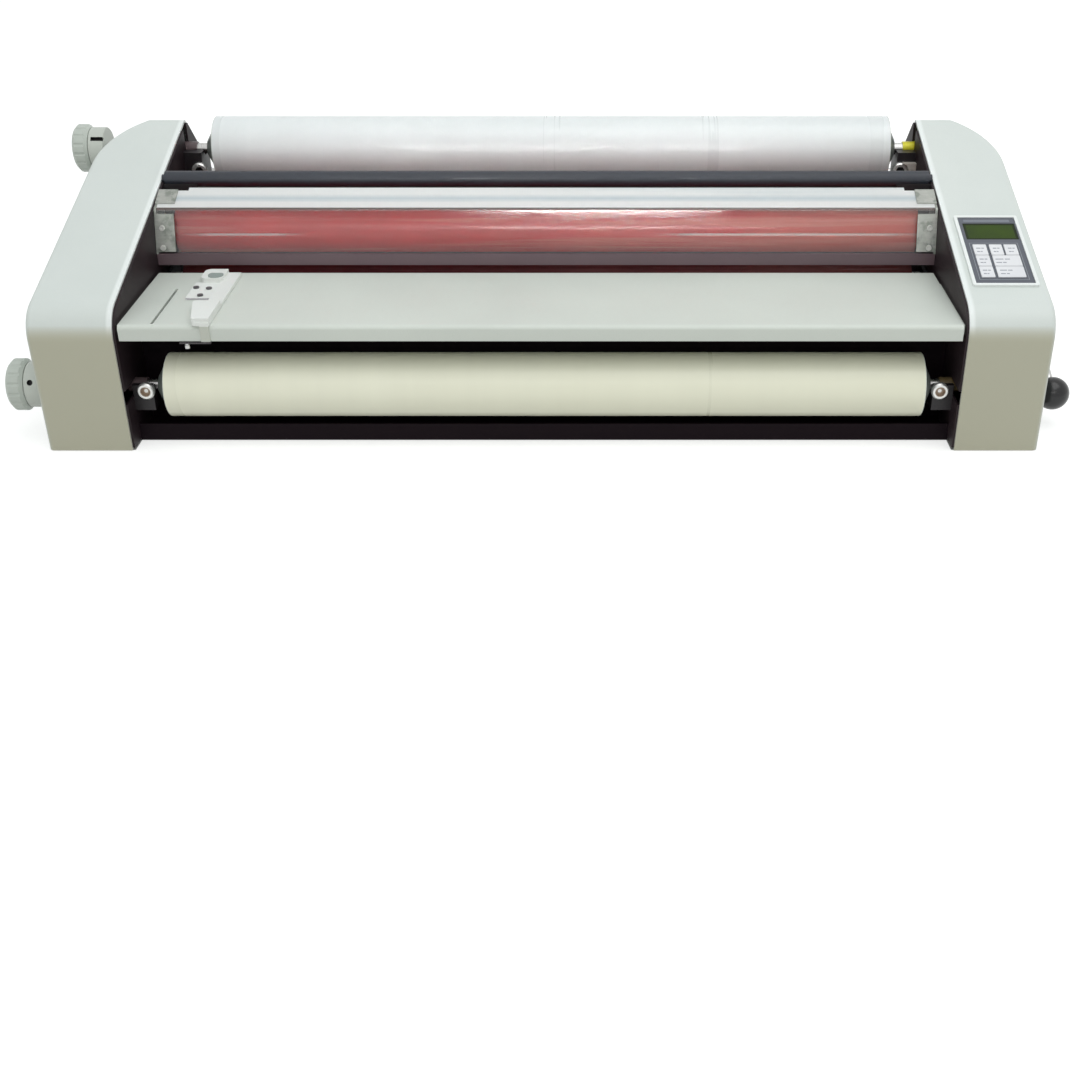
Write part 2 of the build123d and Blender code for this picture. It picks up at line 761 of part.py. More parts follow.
def tension_knob(y, z):
    """Round fluted knob on the end of a supply shaft."""
    body = rod(knob_r, knob_x - knob_t, knob_x - seat_gap, y, z)
    body = chamfer(body.edges().filter_by(GeomType.CIRCLE), knob_edge)
    for turn in range(knob_flutes):
        angle = 2 * math.pi * turn / knob_flutes
        reach = knob_r + flute_r - 0.9
        flute_y = y + reach * math.cos(angle)
        body -= rod(flute_r, knob_x - knob_t - 1, knob_x + 1, flute_y, z + reach * math.sin(angle))
    body -= rod(knob_r - 8, knob_x - knob_t - 1, knob_x - knob_t + 2, y, z)
    return body - rod(supply_shaft_r + run_gap, knob_x - knob_t + 4 - run_gap, knob_x + 1, y, z)


def core_chuck(side, y, z):
    """Plug that centres the core on the shaft, with a cone outside the roll."""
    start = side * film_width / 2 + film_shift
    length = chuck_length if side > 0 else chuck_length + film_shift
    turned = Rot(0, side * 90, 0) * Cone(chuck_r, chuck_small_r, length)
    cone = Pos(start + side * length / 2, y, z) * turned
    plug = rod(core_bore_r - run_gap, start - side * chuck_plug, start + side, y, z)
    return cone + plug - rod(supply_shaft_r, start - side * (chuck_plug + 1), side * gap_x, y, z)


def film_roll(radius, y, z):
    """Film wound on a card core: the core tube and the winding are separate solids."""
    left = film_shift - film_width / 2
    right = film_shift + film_width / 2
    core_r = core_bore_r + core_wall
    return [tube(core_r, core_bore_r, left, right, y, z), tube(radius, core_r, left, right, y, z)]


def saddle(side, y, z, front, drop, lip):
    """Cradle on the side plate's inner face, open at the top, that holds a half-sunk brass bush."""
    body = block(side * saddle_x, side * gap_x, y - front, y + saddle_half_depth, z - drop, z)
    body += block(side * saddle_x, side * gap_x, y - front, y - supply_bush_r - 0.4, z - drop, z + lip)
    return body - rod(supply_bush_r, side * (saddle_x - 1), side * (gap_x + 1), y, z)


def retainer(side, inward, front_y, axis_z, reach):
    """Bright socket screw in the front of a cradle: the screw and the hole that it fills."""
    x = side * (gap_x - inward)
    screw = along_y(retainer_r, x, front_y - retainer_t, front_y, axis_z)
    screw = chamfer(screw.edges().filter_by(GeomType.CIRCLE).sort_by(Axis.Y)[0], 1.2)
    socket = Plane(origin=(x, front_y - retainer_t - 1, axis_z), x_dir=(1, 0, 0), z_dir=(0, 1, 0))
    screw -= extrude(socket * RegularPolygon(retainer_hex_r, 6), retainer_t - 0.5)
    shank = along_y(retainer_shank_r, x, front_y, front_y + reach, axis_z)
    return screw + shank, shank


saddles = []
retainers = []
for name, roll_r, y, z in (("upper", upper_roll_r, upper_supply_y, upper_supply_z),
                           ("lower", lower_roll_r, lower_supply_y, lower_supply_z)):
    upper = name == "upper"
    save(f"{name}_supply_shaft", supply_shaft(y, z, upper))
    save(f"{name}_tension_knob", tension_knob(y, z))
    save(f"{name}_core_chucks", core_chuck(-1, y, z), core_chuck(1, y, z))
    save(f"{name}_film_roll", film_roll(roll_r, y, z))
    for side in (-1, 1):
        if upper:
            cradle = saddle(side, y, z, upper_saddle_front, upper_saddle_drop, 0)
            screw, hole = retainer(side, upper_retainer_in, y - upper_saddle_front,
                                   z - upper_retainer_drop, 8.0)
        else:
            cradle = saddle(side, y, z, saddle_half_depth, lower_saddle_drop, lower_saddle_lip)
            screw, hole = retainer(side, lower_retainer_in, y - saddle_half_depth,
                                   z - lower_retainer_drop, 3.0)
        saddles.append(cradle - hole)
        retainers.append(screw)
        bushes.append(tube(supply_bush_r, supply_shaft_r + run_gap,
                           side * (gap_x - bush_in), side * (plate_x + bush_through), y, z))
# Small light stop block in front of the right upper cradle, cut round for the screw's head
stop_y = upper_supply_y - upper_saddle_front
stop_z = upper_supply_z - upper_retainer_drop
stop = block(gap_x - stop_width, gap_x, stop_y - 7, stop_y, stop_z - 6, stop_z + 8)
stop -= along_y(retainer_r + 0.4, gap_x - upper_retainer_in, stop_y - 8, stop_y + 1, stop_z)
stop -= along_y(1.2, gap_x - stop_hole_in, stop_y - 8, stop_y - 3, stop_z + 1)
saddles.append(stop)
save("retainer_screws", retainers)
save("roller_bushes", bushes)


# Idler bars and the blocks under the ends of the upper one
def idler_bar(radius, y, z):
    """Free bar that guides the film between the side plates."""
    half = gap_x - 2
    return rod(radius, -half, half, y, z) + rod(idler_journal_r, -plate_x + 0.5, plate_x - 0.5, y, z)


save("upper_idler_bar", idler_bar(upper_idler_r, upper_idler_y, upper_idler_z))
save("lower_idler_bar", idler_bar(lower_idler_r, lower_idler_y, lower_idler_z))
end_block_low_z = heat_up_z + heat_r + 0.6
end_block = block(gap_x - end_block_width, gap_x, upper_idler_y - end_block_depth / 2,
                  upper_idler_y + end_block_depth / 2, end_block_low_z, upper_idler_z - 2)
end_block -= rod(upper_idler_r + seat_gap, gap_x - end_block_width - 1, gap_x + 1,
                 upper_idler_y, upper_idler_z)
save("shaft_supports", saddles, both_sides(end_block))

# Feed table with its turned-down front lip
table_half = gap_x - table_end_gap
table_front_y = front_y + table_front_depth
table_back_y = front_y + table_back_depth
lip_low_z = table_z - table_lip
table_shape = outline([
    (table_front_y, lip_low_z, 0),
    (table_front_y, table_z, lip_r),
    (table_back_y, table_z, 0),
    (table_back_y, table_z - sheet_t, 0),
    (table_front_y + sheet_t, table_z - sheet_t, lip_r - sheet_t),
    (table_front_y + sheet_t, lip_low_z, 0),
])
table = along_x(table_shape, -table_half, table_half)
slot_length = table_slot_end - table_slot_start
table_slot_x = table_slot_in - gap_x
slot_shape = Pos(table_slot_x, front_y + (table_slot_start + table_slot_end) / 2)
slot_form = slot_shape * Rot(0, 0, 90) * SlotOverall(slot_length, table_slot_w)
table -= Pos(0, 0, table_z - sheet_t - 1) * extrude(slot_form, sheet_t + 2)
flange_low_z = table_z - 11
flange_start = 8.0
flange_end = 112.0
for side in (-1, 1):
    table += block(side * (table_half - 2), side * gap_x, table_front_y + flange_start, table_front_y + flange_end,
                   flange_low_z, table_z - sheet_t)
save("feed_table", table)

# Paper guide that slides along the front lip, and its clamp screw
guide_z = table_z + seat_gap
guide_x = guide_edge_x - guide_width
strap_t = 1.0
strap_w = 8.0
strap_front_y = table_front_y - seat_gap - strap_t
hook_z = lip_low_z - 1.0
hook_l = 16.0
clamp_x = guide_x - 10.0
clamp_screw_r = 1.8
guide_plate_w = 23.0
plate_screws = ((-19.0, -15.0), (-10.5, -35.0), (-7.0, -17.0))
clamp_screw_y = strap_front_y + 8.5
clamp_screw_low_z = hook_z - 8.0
guide_back_y = front_y + table_back_depth - guide_before_table_end


def guide_slab(corners, height):
    """Flat piece of the guide, drawn up from the table by its height."""
    return Pos(0, 0, guide_z) * extrude(outline(corners), height)


def guide_rectangle(x0, x1, y0, y1, height, corner=0.0):
    """Rectangular piece of the guide with rounded left corners."""
    return guide_slab([(x0, y0, corner), (x1, y0, 0), (x1, y1, 0), (x0, y1, corner)], height)


guide = guide_rectangle(guide_x, guide_edge_x, strap_front_y, guide_back_y, guide_h)
pad_back_y = front_y + guide_pad_end
guide += guide_slab([
    (guide_edge_x - guide_width - 1.5, strap_front_y + strap_t, 2),
    (guide_edge_x, strap_front_y + strap_t, 0),
    (guide_edge_x, pad_back_y, 0),
    (guide_edge_x - guide_pad_w, pad_back_y, 3),
], guide_pad_h)
block_back_y = guide_back_y + 2
block_front_y = block_back_y - guide_block_l
block_x = guide_x + 1.5
guide += guide_rectangle(block_x - guide_block_w, block_x, block_front_y, block_back_y, guide_block_h, 6)
guide += guide_rectangle(guide_x - guide_plate_w, guide_x + 1, block_front_y - guide_plate_l, block_front_y + 1,
                         1.6, 2)
disc_y = block_front_y + 7.5
guide += Pos(guide_x - 6, disc_y, guide_z) * extrude(Circle(7), guide_block_h + 1)
for dx, dy in plate_screws:
    guide += Pos(guide_x + dx, block_front_y + dy, guide_z) * extrude(Circle(2.7), 3.2)
strap_x = guide_edge_x - 0.5
guide += block(strap_x - strap_w, strap_x, strap_front_y, strap_front_y + strap_t,
               hook_z - strap_t, guide_z + 1)
hook = block(clamp_x - 4, strap_x, strap_front_y, strap_front_y + hook_l, hook_z - strap_t, hook_z)
screw_hole = Pos(clamp_x, clamp_screw_y, hook_z - strap_t - 1) * extrude(Circle(clamp_screw_r), strap_t + 2)
guide += hook - screw_hole
save("paper_guide", guide)
clamp_screw_top_z = table_z - sheet_t - seat_gap
clamp_place = Pos(clamp_x, clamp_screw_y, clamp_screw_low_z)
clamp_screw = clamp_place * extrude(Circle(clamp_screw_r), clamp_screw_top_z - clamp_screw_low_z)
clamp_screw += clamp_place * extrude(Circle(clamp_screw_r + 0.7), 3.0)
save("guide_clamp_screw", clamp_screw)

# Safety shield: clear bent sheet, dark lower strip, and metal end brackets with their pins
cheek_x = gap_x - seat_gap
cheek_in_x = cheek_x - bracket_t
trim_low_z = table_z + shield_over_table
window_low_z = trim_low_z + shield_trim_h
shield_y = heat_y - shield_front_before_heat
bend_y = heat_y - shield_bend_before_heat
lean = (bend_y - shield_y) / (shield_bend_z - window_low_z)


def front_line(z, out):
    """Y of the shield's leaning front face at a height, moved out towards the front."""
    return shield_y + lean * (z - window_low_z) - out * math.hypot(1, lean)


window_start = (front_line(window_low_z - 6, 0), window_low_z - 6)
window_path = [window_start, (bend_y, shield_bend_z), (heat_y, shield_back_z)]
window = along_x(bent_sheet(window_path, shield_t, shield_bend_r), -cheek_in_x + 0.1, cheek_in_x - 0.1)
window -= block(-cheek_x, cheek_x, shield_y - 20, shield_y + 20, window_low_z - 20, window_low_z)
# The back corners are cut away behind the brackets.
window_end_x = gap_x - end_block_width + 5
for side in (-1, 1):
    window -= block(side * window_end_x, side * cheek_x, heat_y - bracket_back, heat_y + 5,
                    shield_bend_z, shield_back_z + 10)
save("shield_window", window)
trim_front_y = shield_y - 1.5
trim_back_y = shield_y + shield_t + 1.5
save("shield_trim", block(-cheek_x, cheek_x, trim_front_y, trim_back_y, trim_low_z, window_low_z))

cheek_shape = outline([
    (front_line(window_low_z, bracket_t), window_low_z, 0),
    (front_line(shield_bend_z, bracket_t), shield_bend_z, 3),
    (pivot_y + 1, shield_pivot_z + 5, 3),
    (pivot_y + 5, shield_pivot_z - 5, 3),
    (shield_y + 10, window_low_z, 3),
])
bracket = along_x(cheek_shape, cheek_in_x, cheek_x)
face_low_z = window_low_z + 2
face_high_z = shield_bend_z - 5
face_in_x = cheek_x - bracket_width
face_shape = outline([
    (front_line(face_low_z, bracket_t), face_low_z, 0),
    (front_line(face_high_z, bracket_t), face_high_z, 0),
    (front_line(face_high_z, 0), face_high_z, 0),
    (front_line(face_low_z, 0), face_low_z, 0),
])
bracket += along_x(face_shape, face_in_x, cheek_x)
bracket += rod(shield_pin_r, cheek_x - 1, plate_x + 1, pivot_y, shield_pivot_z)
# Flange of the bracket on the window's top slope
rise = (shield_back_z - shield_bend_z) / (heat_y - bend_y)
flange_front_y = bend_y + 5
flange_back_y = heat_y - bracket_back
flange_front_z = shield_bend_z + rise * 5
flange_back_z = shield_back_z - rise * bracket_back
top_flange = outline([
    (flange_front_y, flange_front_z, 0),
    (flange_front_y, flange_front_z + 1.2, 0),
    (flange_back_y, flange_back_z + 1.2, 0),
    (flange_back_y, flange_back_z, 0),
])
bracket += along_x(top_flange, face_in_x, cheek_x)
cheek_ear = outline([
    (flange_front_y, flange_front_z - 8, 0),
    (flange_front_y, flange_front_z + 1.2, 0),
    (flange_back_y, flange_back_z + 1.2, 0),
    (flange_back_y, flange_back_z - 8, 0),
])
bracket += along_x(cheek_ear, cheek_in_x, cheek_x)
bracket_screw_x = cheek_x - 6.7
for z in (face_low_z + 3.5, face_high_z - 12):
    face_y = front_line(z, bracket_t)
    head = along_y(bracket_screw_r, bracket_screw_x, face_y - 1.5, face_y + 1.2, z)
    bracket += head - along_y(1.1, bracket_screw_x, face_y - 2.5, face_y - 0.6, z)
save("shield_brackets", both_sides(bracket))

# Base pan with its bulkhead, and the rear panel with the exit tray
pan_half = gap_x
pan_low_z = foot_height
pan_back_y = front_y + rear_panel_depth + pan_t
pan = block(-pan_half, pan_half, front_y + pan_front_depth, pan_back_y, pan_low_z, pan_low_z + pan_t)
pan += block(-pan_half, pan_half, front_y + pan_front_depth, front_y + pan_front_depth + pan_t,
             cover_floor_gap, pan_low_z + pan_lip)
bulkhead_y = front_y + bulkhead_depth
pan += block(-pan_half, pan_half, bulkhead_y, bulkhead_y + pan_t, pan_low_z, bulkhead_top_z)
save("base_pan", pan)

rear_y = front_y + rear_panel_depth
inlet_x = 285.0
inlet_z = 44.0
inlet_w = 28.0
inlet_h = 48.0
exit_front_y = pull_y + exit_after_pull
tray_shape = outline([
    (rear_y, pan_low_z + pan_t, 0),
    (rear_y, rear_panel_top_z, 0),
    (exit_front_y, exit_front_z - pan_t, 0),
    (exit_front_y, exit_front_z, 0),
    (rear_y + pan_t, rear_panel_top_z + pan_t, 0),
    (rear_y + pan_t, pan_low_z + pan_t, 0),
])
rear_panel = along_x(tray_shape, -pan_half, pan_half)
rear_panel -= block(inlet_x - inlet_w / 2 + 2, inlet_x + inlet_w / 2 - 2, rear_y - 1, rear_y + pan_t + 1,
                    inlet_z - inlet_h / 2 + 2, inlet_z + inlet_h / 2 - 2)
vent_w = 3.0
vent_h = 34.0
vent_step = 9.0
vent_count = 12
vent_left_x = -200.0
vent_right_x = 90.0
for centre_x in (vent_left_x, vent_right_x):
    for turn in range(vent_count):
        x = centre_x + (turn - (vent_count - 1) / 2) * vent_step
        rear_panel -= block(x - vent_w / 2, x + vent_w / 2, rear_y - 1, rear_y + pan_t + 1, 30, 30 + vent_h)
save("rear_panel", rear_panel)

# Mains inlet with its switch, and the rocker
flange_t = 2.5
socket_w = 22.0
socket_h = 16.0
socket_depth = 16.0
socket_z = inlet_z - 10
rocker_r = 9.0
rocker_w = 11.0
rocker_z = inlet_z + 12
inlet_back_y = rear_y + pan_t
inlet = block(inlet_x - inlet_w / 2, inlet_x + inlet_w / 2, inlet_back_y, inlet_back_y + flange_t,
              inlet_z - inlet_h / 2, inlet_z + inlet_h / 2)
inlet += block(inlet_x - inlet_w / 2 + 2, inlet_x + inlet_w / 2 - 2, rear_y - 22, inlet_back_y + 1,
               inlet_z - inlet_h / 2 + 2, inlet_z + inlet_h / 2 - 2)
inlet -= block(inlet_x - socket_w / 2, inlet_x + socket_w / 2, inlet_back_y + flange_t - socket_depth,
               inlet_back_y + flange_t + 1, socket_z - socket_h / 2, socket_z + socket_h / 2)
for dx, dz in ((-6.0, -2.0), (6.0, -2.0), (0.0, 3.0)):
    inlet += block(inlet_x + dx - 1, inlet_x + dx + 1, inlet_back_y + flange_t - socket_depth - 1,
                   inlet_back_y - 3.5, socket_z + dz - 2, socket_z + dz + 2)
rocker_y = inlet_back_y - 4
inlet -= block(inlet_x - rocker_w / 2 - 0.3, inlet_x + rocker_w / 2 + 0.3, rocker_y - rocker_r - 1,
               inlet_back_y + flange_t + 1, rocker_z - rocker_r - 0.3, rocker_z + rocker_r + 0.3)
save("power_inlet", inlet)

rocker_tilt = 8.0
rocker_shape = Circle(rocker_r)
face_out = 7.5
for way in (-1, 1):
    rocker_shape -= Rot(0, 0, way * 12) * Pos(face_out + 10, way * 10) * Rectangle(20, 22)
rocker_shape = Pos(rocker_y, rocker_z) * Rot(0, 0, -rocker_tilt) * rocker_shape
save("power_rocker", along_x(rocker_shape, inlet_x - rocker_w / 2, inlet_x + rocker_w / 2))

# Tie rods between the plates and threaded posts that carry the covers
rod_r = 6.0
frame_rods = []
for depth, z in ((rear_panel_depth - rear_rod_before_panel, rear_rod_z), (front_rod_depth, front_rod_z),
                 (rear_panel_depth - low_rod_before_panel, low_rod_z)):
    frame_rods.append(rod(rod_r, -gap_x, gap_x, front_y + depth, z))
for side in (-1, 1):
    for depth, z in standoffs:
        post = rod(standoff_r, side * plate_x, side * (cover_x - cover_wall), front_y + depth, z)
        post += rod(screw_r, side * gap_x, side * plate_x, front_y + depth, z)
        post -= rod(screw_r, side * (cover_x - screw_length - 1), side * (cover_x + 1), front_y + depth, z)
        frame_rods.append(post)
save("frame_rods", frame_rods)

cover_screws = []
for side in (-1, 1):
    for depth, z in standoffs:
        y = front_y + depth
        head = rod(screw_head_r, side * cover_x, side * (cover_x + screw_head_h), y, z)
        head += rod(screw_r, side * (cover_x - screw_length), side * cover_x, y, z)
        tip = side * (cover_x + screw_head_h)
        slot = block(tip - side * 1.2, tip + side, y - screw_head_r, y + screw_head_r, z - 0.5, z + 0.5)
        cover_screws.append(head - slot)
save("cover_screws", cover_screws)

feet = []
foot_x = gap_x - foot_in
for side in (-1, 1):
    for depth in (pan_front_depth + front_foot_behind_pan, rear_panel_depth - rear_foot_before_panel):
        foot = extrude(Pos(side * foot_x, front_y + depth) * Circle(foot_r), foot_height)
        feet.append(chamfer(foot.edges().filter_by(GeomType.CIRCLE).sort_by(Axis.Z)[0], 1.5))
save("rubber_feet", feet)

# Control panel: overlay plate, screen, keys, and the board behind them
overlay = slope_block(panel_w - 0.2, panel_l - 0.2, 0, 0, 0, overlay_t, panel_corner - 0.5)
overlay -= slope_block(lcd_w, lcd_l, lcd_across, lcd_up, -1, overlay_t + 1)
key_rows = 3
key_l = (key_field_l - (key_rows - 1) * key_space) / key_rows
group_w = key_field_w - key_column - column_space
small_w = (group_w - pair_space) / 2
left_edge = -key_field_w / 2
group_edge = left_edge + key_column + column_space
keys = []
for row in range(key_rows):
    up = key_field_up + key_field_l / 2 - key_l / 2 - row * (key_l + key_space)
    keys.append((left_edge + key_column / 2, up, key_column))
    if row == 0:
        keys.append((group_edge + small_w / 2, up, small_w))
        keys.append((group_edge + 1.5 * small_w + pair_space, up, small_w))
    else:
        keys.append((group_edge + group_w / 2, up, group_w))
for across, up, w in keys:
    overlay -= slope_block(w, key_l, across, up, -1, overlay_t + 1)
save("panel_overlay", overlay)
lcd = slope_block(lcd_w - 0.4, lcd_l - 0.4, lcd_across, lcd_up, 0, overlay_t - 0.3)
lcd += slope_block(panel_hole_w - 2, lcd_l - 0.4, 0, lcd_up, -board_down + board_t, 0.2)
save("lcd_window", lcd)

board = slope_block(board_w, board_l, 0, 0, -board_down, -board_down + board_t)
switch_h = 4.5
plunger_h = 0.6
stem_low = -board_down + board_t + switch_h + plunger_h + key_travel + 0.1
for number, (across, up, w) in enumerate(keys, start=1):
    board += slope_block(6, 6, across, up, -board_down + board_t - 0.5, -board_down + board_t + switch_h)
    plunger = extrude(Pos(across, up) * Circle(1.5), switch_h + plunger_h)
    board += slope_place(0, -board_down + board_t) * plunger
    cap = slope_block(w - 2 * key_gap, key_l - 2 * key_gap, across, up, -0.6, overlay_t + key_proud, 0.8)
    stem = extrude(Pos(across, up) * Circle(2.0), -0.5 - stem_low)
    save(f"key_{number}", cap + slope_place(0, stem_low) * stem)
save("control_board", board)

# Power supply in the right cover
supply_box = block(plate_x, plate_x + supply_w, front_y + supply_depth, front_y + supply_depth + supply_l,
                   supply_low_z, supply_low_z + supply_h)
vent_pitch = (supply_l - 9) / supply_vents
for turn in range(supply_vents):
    y = front_y + supply_depth + 8 + turn * vent_pitch
    supply_box -= block(plate_x + supply_w - 6, plate_x + supply_w + 4, y, y + 3,
                        supply_low_z + 8, supply_low_z + supply_h - 8)
save("power_supply", supply_box)

print("gear centre", round(gear_centre_y, 3), round(gear_centre_z, 3), "pinion", round(pinion_z, 3))
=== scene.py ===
import bpy
import bmesh
import math
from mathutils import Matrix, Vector

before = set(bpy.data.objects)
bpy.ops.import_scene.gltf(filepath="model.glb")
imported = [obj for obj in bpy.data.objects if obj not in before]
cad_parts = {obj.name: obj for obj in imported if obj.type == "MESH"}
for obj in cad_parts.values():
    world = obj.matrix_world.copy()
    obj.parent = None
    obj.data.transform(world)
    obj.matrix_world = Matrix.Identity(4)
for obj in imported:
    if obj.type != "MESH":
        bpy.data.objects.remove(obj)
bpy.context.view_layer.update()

# Sizes shared with the solids, in metres. FRONT is the front of the side covers.
FRONT = -0.195
GAP_X = 0.366                                   # inner faces of the side plates
PLATE_X = 0.368                                 # outer faces of the side plates
COVER_X = 0.443                                 # outer faces of the side covers
COVER_WALL = 0.0025
CORNER_Y = FRONT + 0.235                        # start of the covers' round rear corner
CORNER_R = 0.094
PAN_Y = (-0.172, 0.17)                          # base pan, front to back
UPPER_ROLL = (FRONT + 0.2975, 0.1933)           # axis of each film roll: Y and Z
LOWER_ROLL = (FRONT + 0.0333, 0.0507)
FILM_X = (-0.3336, 0.3376)                      # just inside the ends of the film
CORE_R = 0.0161
HOUSING_X = (-0.4605, -0.4449)                  # clutch housing outside the left cover
HOUSING_CUT_X = (-0.4593, -0.4459)
HOUSING_CUT_R = 0.0201
BUSH_SIDE = (0.34, 0.38)                        # brass bushes of the film shafts
BUSH_R = 0.009
LOW_BUSH_Y = (-0.18, -0.14)
LOW_BUSH_Z = (0.02, 0.08)
BEND_Z = 0.1732                                 # fold between the shield's front and its top slope
SCREW_X = GAP_X - 0.007                         # screws of the shield's brackets
SCREW_Z = (0.1388, 0.1562)
SCREW_R = 0.0026
SLOPE = math.radians(16.75)
PANEL = (0.4055, FRONT + 0.0917, 0.127 + 0.0917 * math.tan(SLOPE))

# Socket screws in front of the cradles: distance from the middle, height and front face
UP_SCREW = (GAP_X - 0.015, UPPER_ROLL[1] - 0.017, UPPER_ROLL[0] - 0.023)
LOW_SCREW = (GAP_X - 0.0125, LOWER_ROLL[1] - 0.0005, LOWER_ROLL[0] - 0.0165)
SOCKET_R = 0.0047
SOCKET_RING = (0.0018, 0.0046)

# Boxes on the control panel in millimetres from its middle: left, right, low, high
# RIM_BOX and RIM_LIFT bound the painted highlight on the panel's raised rim
RIM_BOX = (-29.3, 29.3, -53.3, 53.3)
RIM_LIFT = (0.3, 6.0)                           # and its height above the cover
HEAD_BAR = (-21.0, 21.0, 43.5, 47.0)
KEY_FIELD = (-22.0, 22.0, -44.5, 10.5)
SCREEN_BOX = (-22.8, 24.8, 16.0, 41.0)

# Boxes in metres: ranges along X, Y and Z. The guide's are at its rest place.
GUIDE_PLATE = ((-0.33, -0.2975), (-0.14, -0.0915), (0.118, 0.1198))
GUIDE_SCREWS = (*GUIDE_PLATE[:2], (0.1202, 0.13))
GUIDE_DISC = ((-0.3105, -0.2965), (-0.091, -0.0765), (0.1242, 0.13))
GUIDE_LIP = ((-0.33, -0.28), (-0.2, -0.17), (0.1041, 0.1178))
GUIDE_HOOK = (*GUIDE_LIP[:2], (0.09, 0.1041))
SUPPORT_CLIP = ((0.3525, 0.367), (0.07, 0.0838), (0.165, 0.186))

# Streaks and lines on the shield, in metres: heights from its fold, and ranges along X
FOLD_DARK = -0.0022
FOLD_WHITE = 0.0034
FOLD_GREY = (0.0042, 0.0064)
# The next three place a painted highlight streak near each end of the shield
HIGHLIGHT_Z = (-0.0243, -0.0231)
HIGHLIGHT_LEFT = (-0.33, -0.24)
HIGHLIGHT_RIGHT = (0.12, 0.335)


def srgb(r, g, b):
    """Linear colour from screen values 0 to 255."""
    def one(v):
        v = v / 255.0
        return v / 12.92 if v <= 0.04045 else ((v + 0.055) / 1.055) ** 2.4
    return (one(r), one(g), one(b), 1.0)


class Nodes:
    """One node material: its calls add nodes and return the socket to go on with."""

    def __init__(self, name):
        self.mat = bpy.data.materials.new(name)
        self.mat.use_nodes = True
        self.tree = self.mat.node_tree
        self.tree.nodes.clear()
        self.out = self.tree.nodes.new("ShaderNodeOutputMaterial")
        self.coords = self.tree.nodes.new("ShaderNodeTexCoord").outputs["Object"]

    def node(self, kind, inputs=None, **settings):
        """New node: each input is a value or the socket that drives it."""
        n = self.tree.nodes.new(kind)
        for key, value in settings.items():
            setattr(n, key, value)
        for key, value in (inputs or {}).items():
            if hasattr(value, "links"):
                self.tree.links.new(value, n.inputs[key])
            else:
                n.inputs[key].default_value = value
        return n

    def scaled(self, *scale):
        """Object coordinates stretched on each axis."""
        return self.node("ShaderNodeMapping", {"Vector": self.coords, "Scale": scale}).outputs[0]

    def noise(self, scale, detail=3.0, rough=0.55, stretch=(1, 1, 1)):
        """Noise from 0 to 1; a small stretch on an axis draws it out along that axis."""
        vec = self.scaled(*stretch)
        return self.node("ShaderNodeTexNoise", {"Vector": vec, "Scale": scale, "Detail": detail,
                                                "Roughness": rough}).outputs["Fac"]

    def lathe_marks(self, stretch=(60.0, 0.6, 0.6)):
        """Fine turning marks round the axis with the large stretch."""
        return self.noise(52.0, 2.0, 0.6, stretch)

    def cells(self, scale, output="Distance"):
        """Small round cells, for moulded grain or spangle."""
        values = {"Vector": self.coords, "Scale": scale}
        return self.node("ShaderNodeTexVoronoi", values).outputs[output]

    def ramp(self, fac, stops):
        """Colours along fac: (position, colour) pairs."""
        n = self.node("ShaderNodeValToRGB", {"Fac": fac})
        while len(n.color_ramp.elements) < len(stops):
            n.color_ramp.elements.new(0.5)
        for e, (pos, col) in zip(n.color_ramp.elements, stops):
            e.position = pos
            e.color = col
        return n.outputs["Color"]

    def grey(self, fac, low, high, start=0.3, end=0.7):
        """Number that runs from low to high as fac runs from start to end."""
        values = {"Value": fac, "From Min": start, "From Max": end, "To Min": low, "To Max": high}
        return self.node("ShaderNodeMapRange", values).outputs["Result"]

    def mix(self, fac, a, b):
        """Colour a where fac is 0 and colour b where it is 1."""
        n = self.node("ShaderNodeMix", data_type="RGBA")
        for socket, value in ((n.inputs[0], fac), (n.inputs[6], a), (n.inputs[7], b)):
            if hasattr(value, "links"):
                self.tree.links.new(value, socket)
            else:
                socket.default_value = value
        return n.outputs[2]

    def calc(self, op, a, b=0.0):
        """Result of one Math node, such as ADD or MINIMUM."""
        return self.node("ShaderNodeMath", {0: a, 1: b}, operation=op).outputs[0]

    def times(self, *values):
        """Product of two or more numbers."""
        total = values[0]
        for value in values[1:]:
            total = self.calc("MULTIPLY", total, value)
        return total

    def place(self):
        """X, Y and Z in metres in the frame of the whole machine."""
        if not hasattr(self, "xyz"):
            self.xyz = self.node("ShaderNodeSeparateXYZ", {"Vector": self.coords}).outputs
        return self.xyz

    def between(self, value, low, high, soft=0.0):
        """1 where low < value < high, else 0, with a soft edge."""
        soft = max(soft, 1e-5)
        up = self.grey(value, 0.0, 1.0, low - soft, low + soft)
        down = self.grey(value, 1.0, 0.0, high - soft, high + soft)
        return self.calc("MULTIPLY", up, down)

    def inside(self, x=None, y=None, z=None):
        """1 inside a box given by ranges in metres, else 0."""
        spans = zip(self.place(), (x, y, z))
        return self.times(1.0, *[self.between(socket, *span) for socket, span in spans if span])

    def framed(self, u, v, box):
        """1 inside a flat box (left, right, low, high), else 0."""
        left, right, low, high = box
        return self.times(self.between(u, left, right), self.between(v, low, high))

    def near(self, u, v, centre, radius, soft=0.0):
        """1 within a radius of a centre in a plane, else 0."""
        return self.between(self.reach(u, v, *centre), -1.0, radius, soft)

    def reach(self, u, v, centre_u, centre_v):
        """Distance from a centre in a plane."""
        du = self.calc("SUBTRACT", u, centre_u)
        dv = self.calc("SUBTRACT", v, centre_v)
        return self.calc("SQRT", self.calc("ADD", self.times(du, du), self.times(dv, dv)))

    def bump(self, height, strength, distance):
        """Normal pushed by a height, over a distance in metres."""
        inputs = {"Height": height, "Strength": strength, "Distance": distance}
        return self.node("ShaderNodeBump", inputs).outputs["Normal"]

    def blended(self, fac, a, b):
        """Shader a where fac is 0 and shader b where it is 1."""
        return self.node("ShaderNodeMixShader", {0: fac, 1: a, 2: b}).outputs[0]

    def finish(self, shader):
        """Material with this shader on its surface."""
        self.tree.links.new(shader, self.out.inputs["Surface"])
        return self.mat

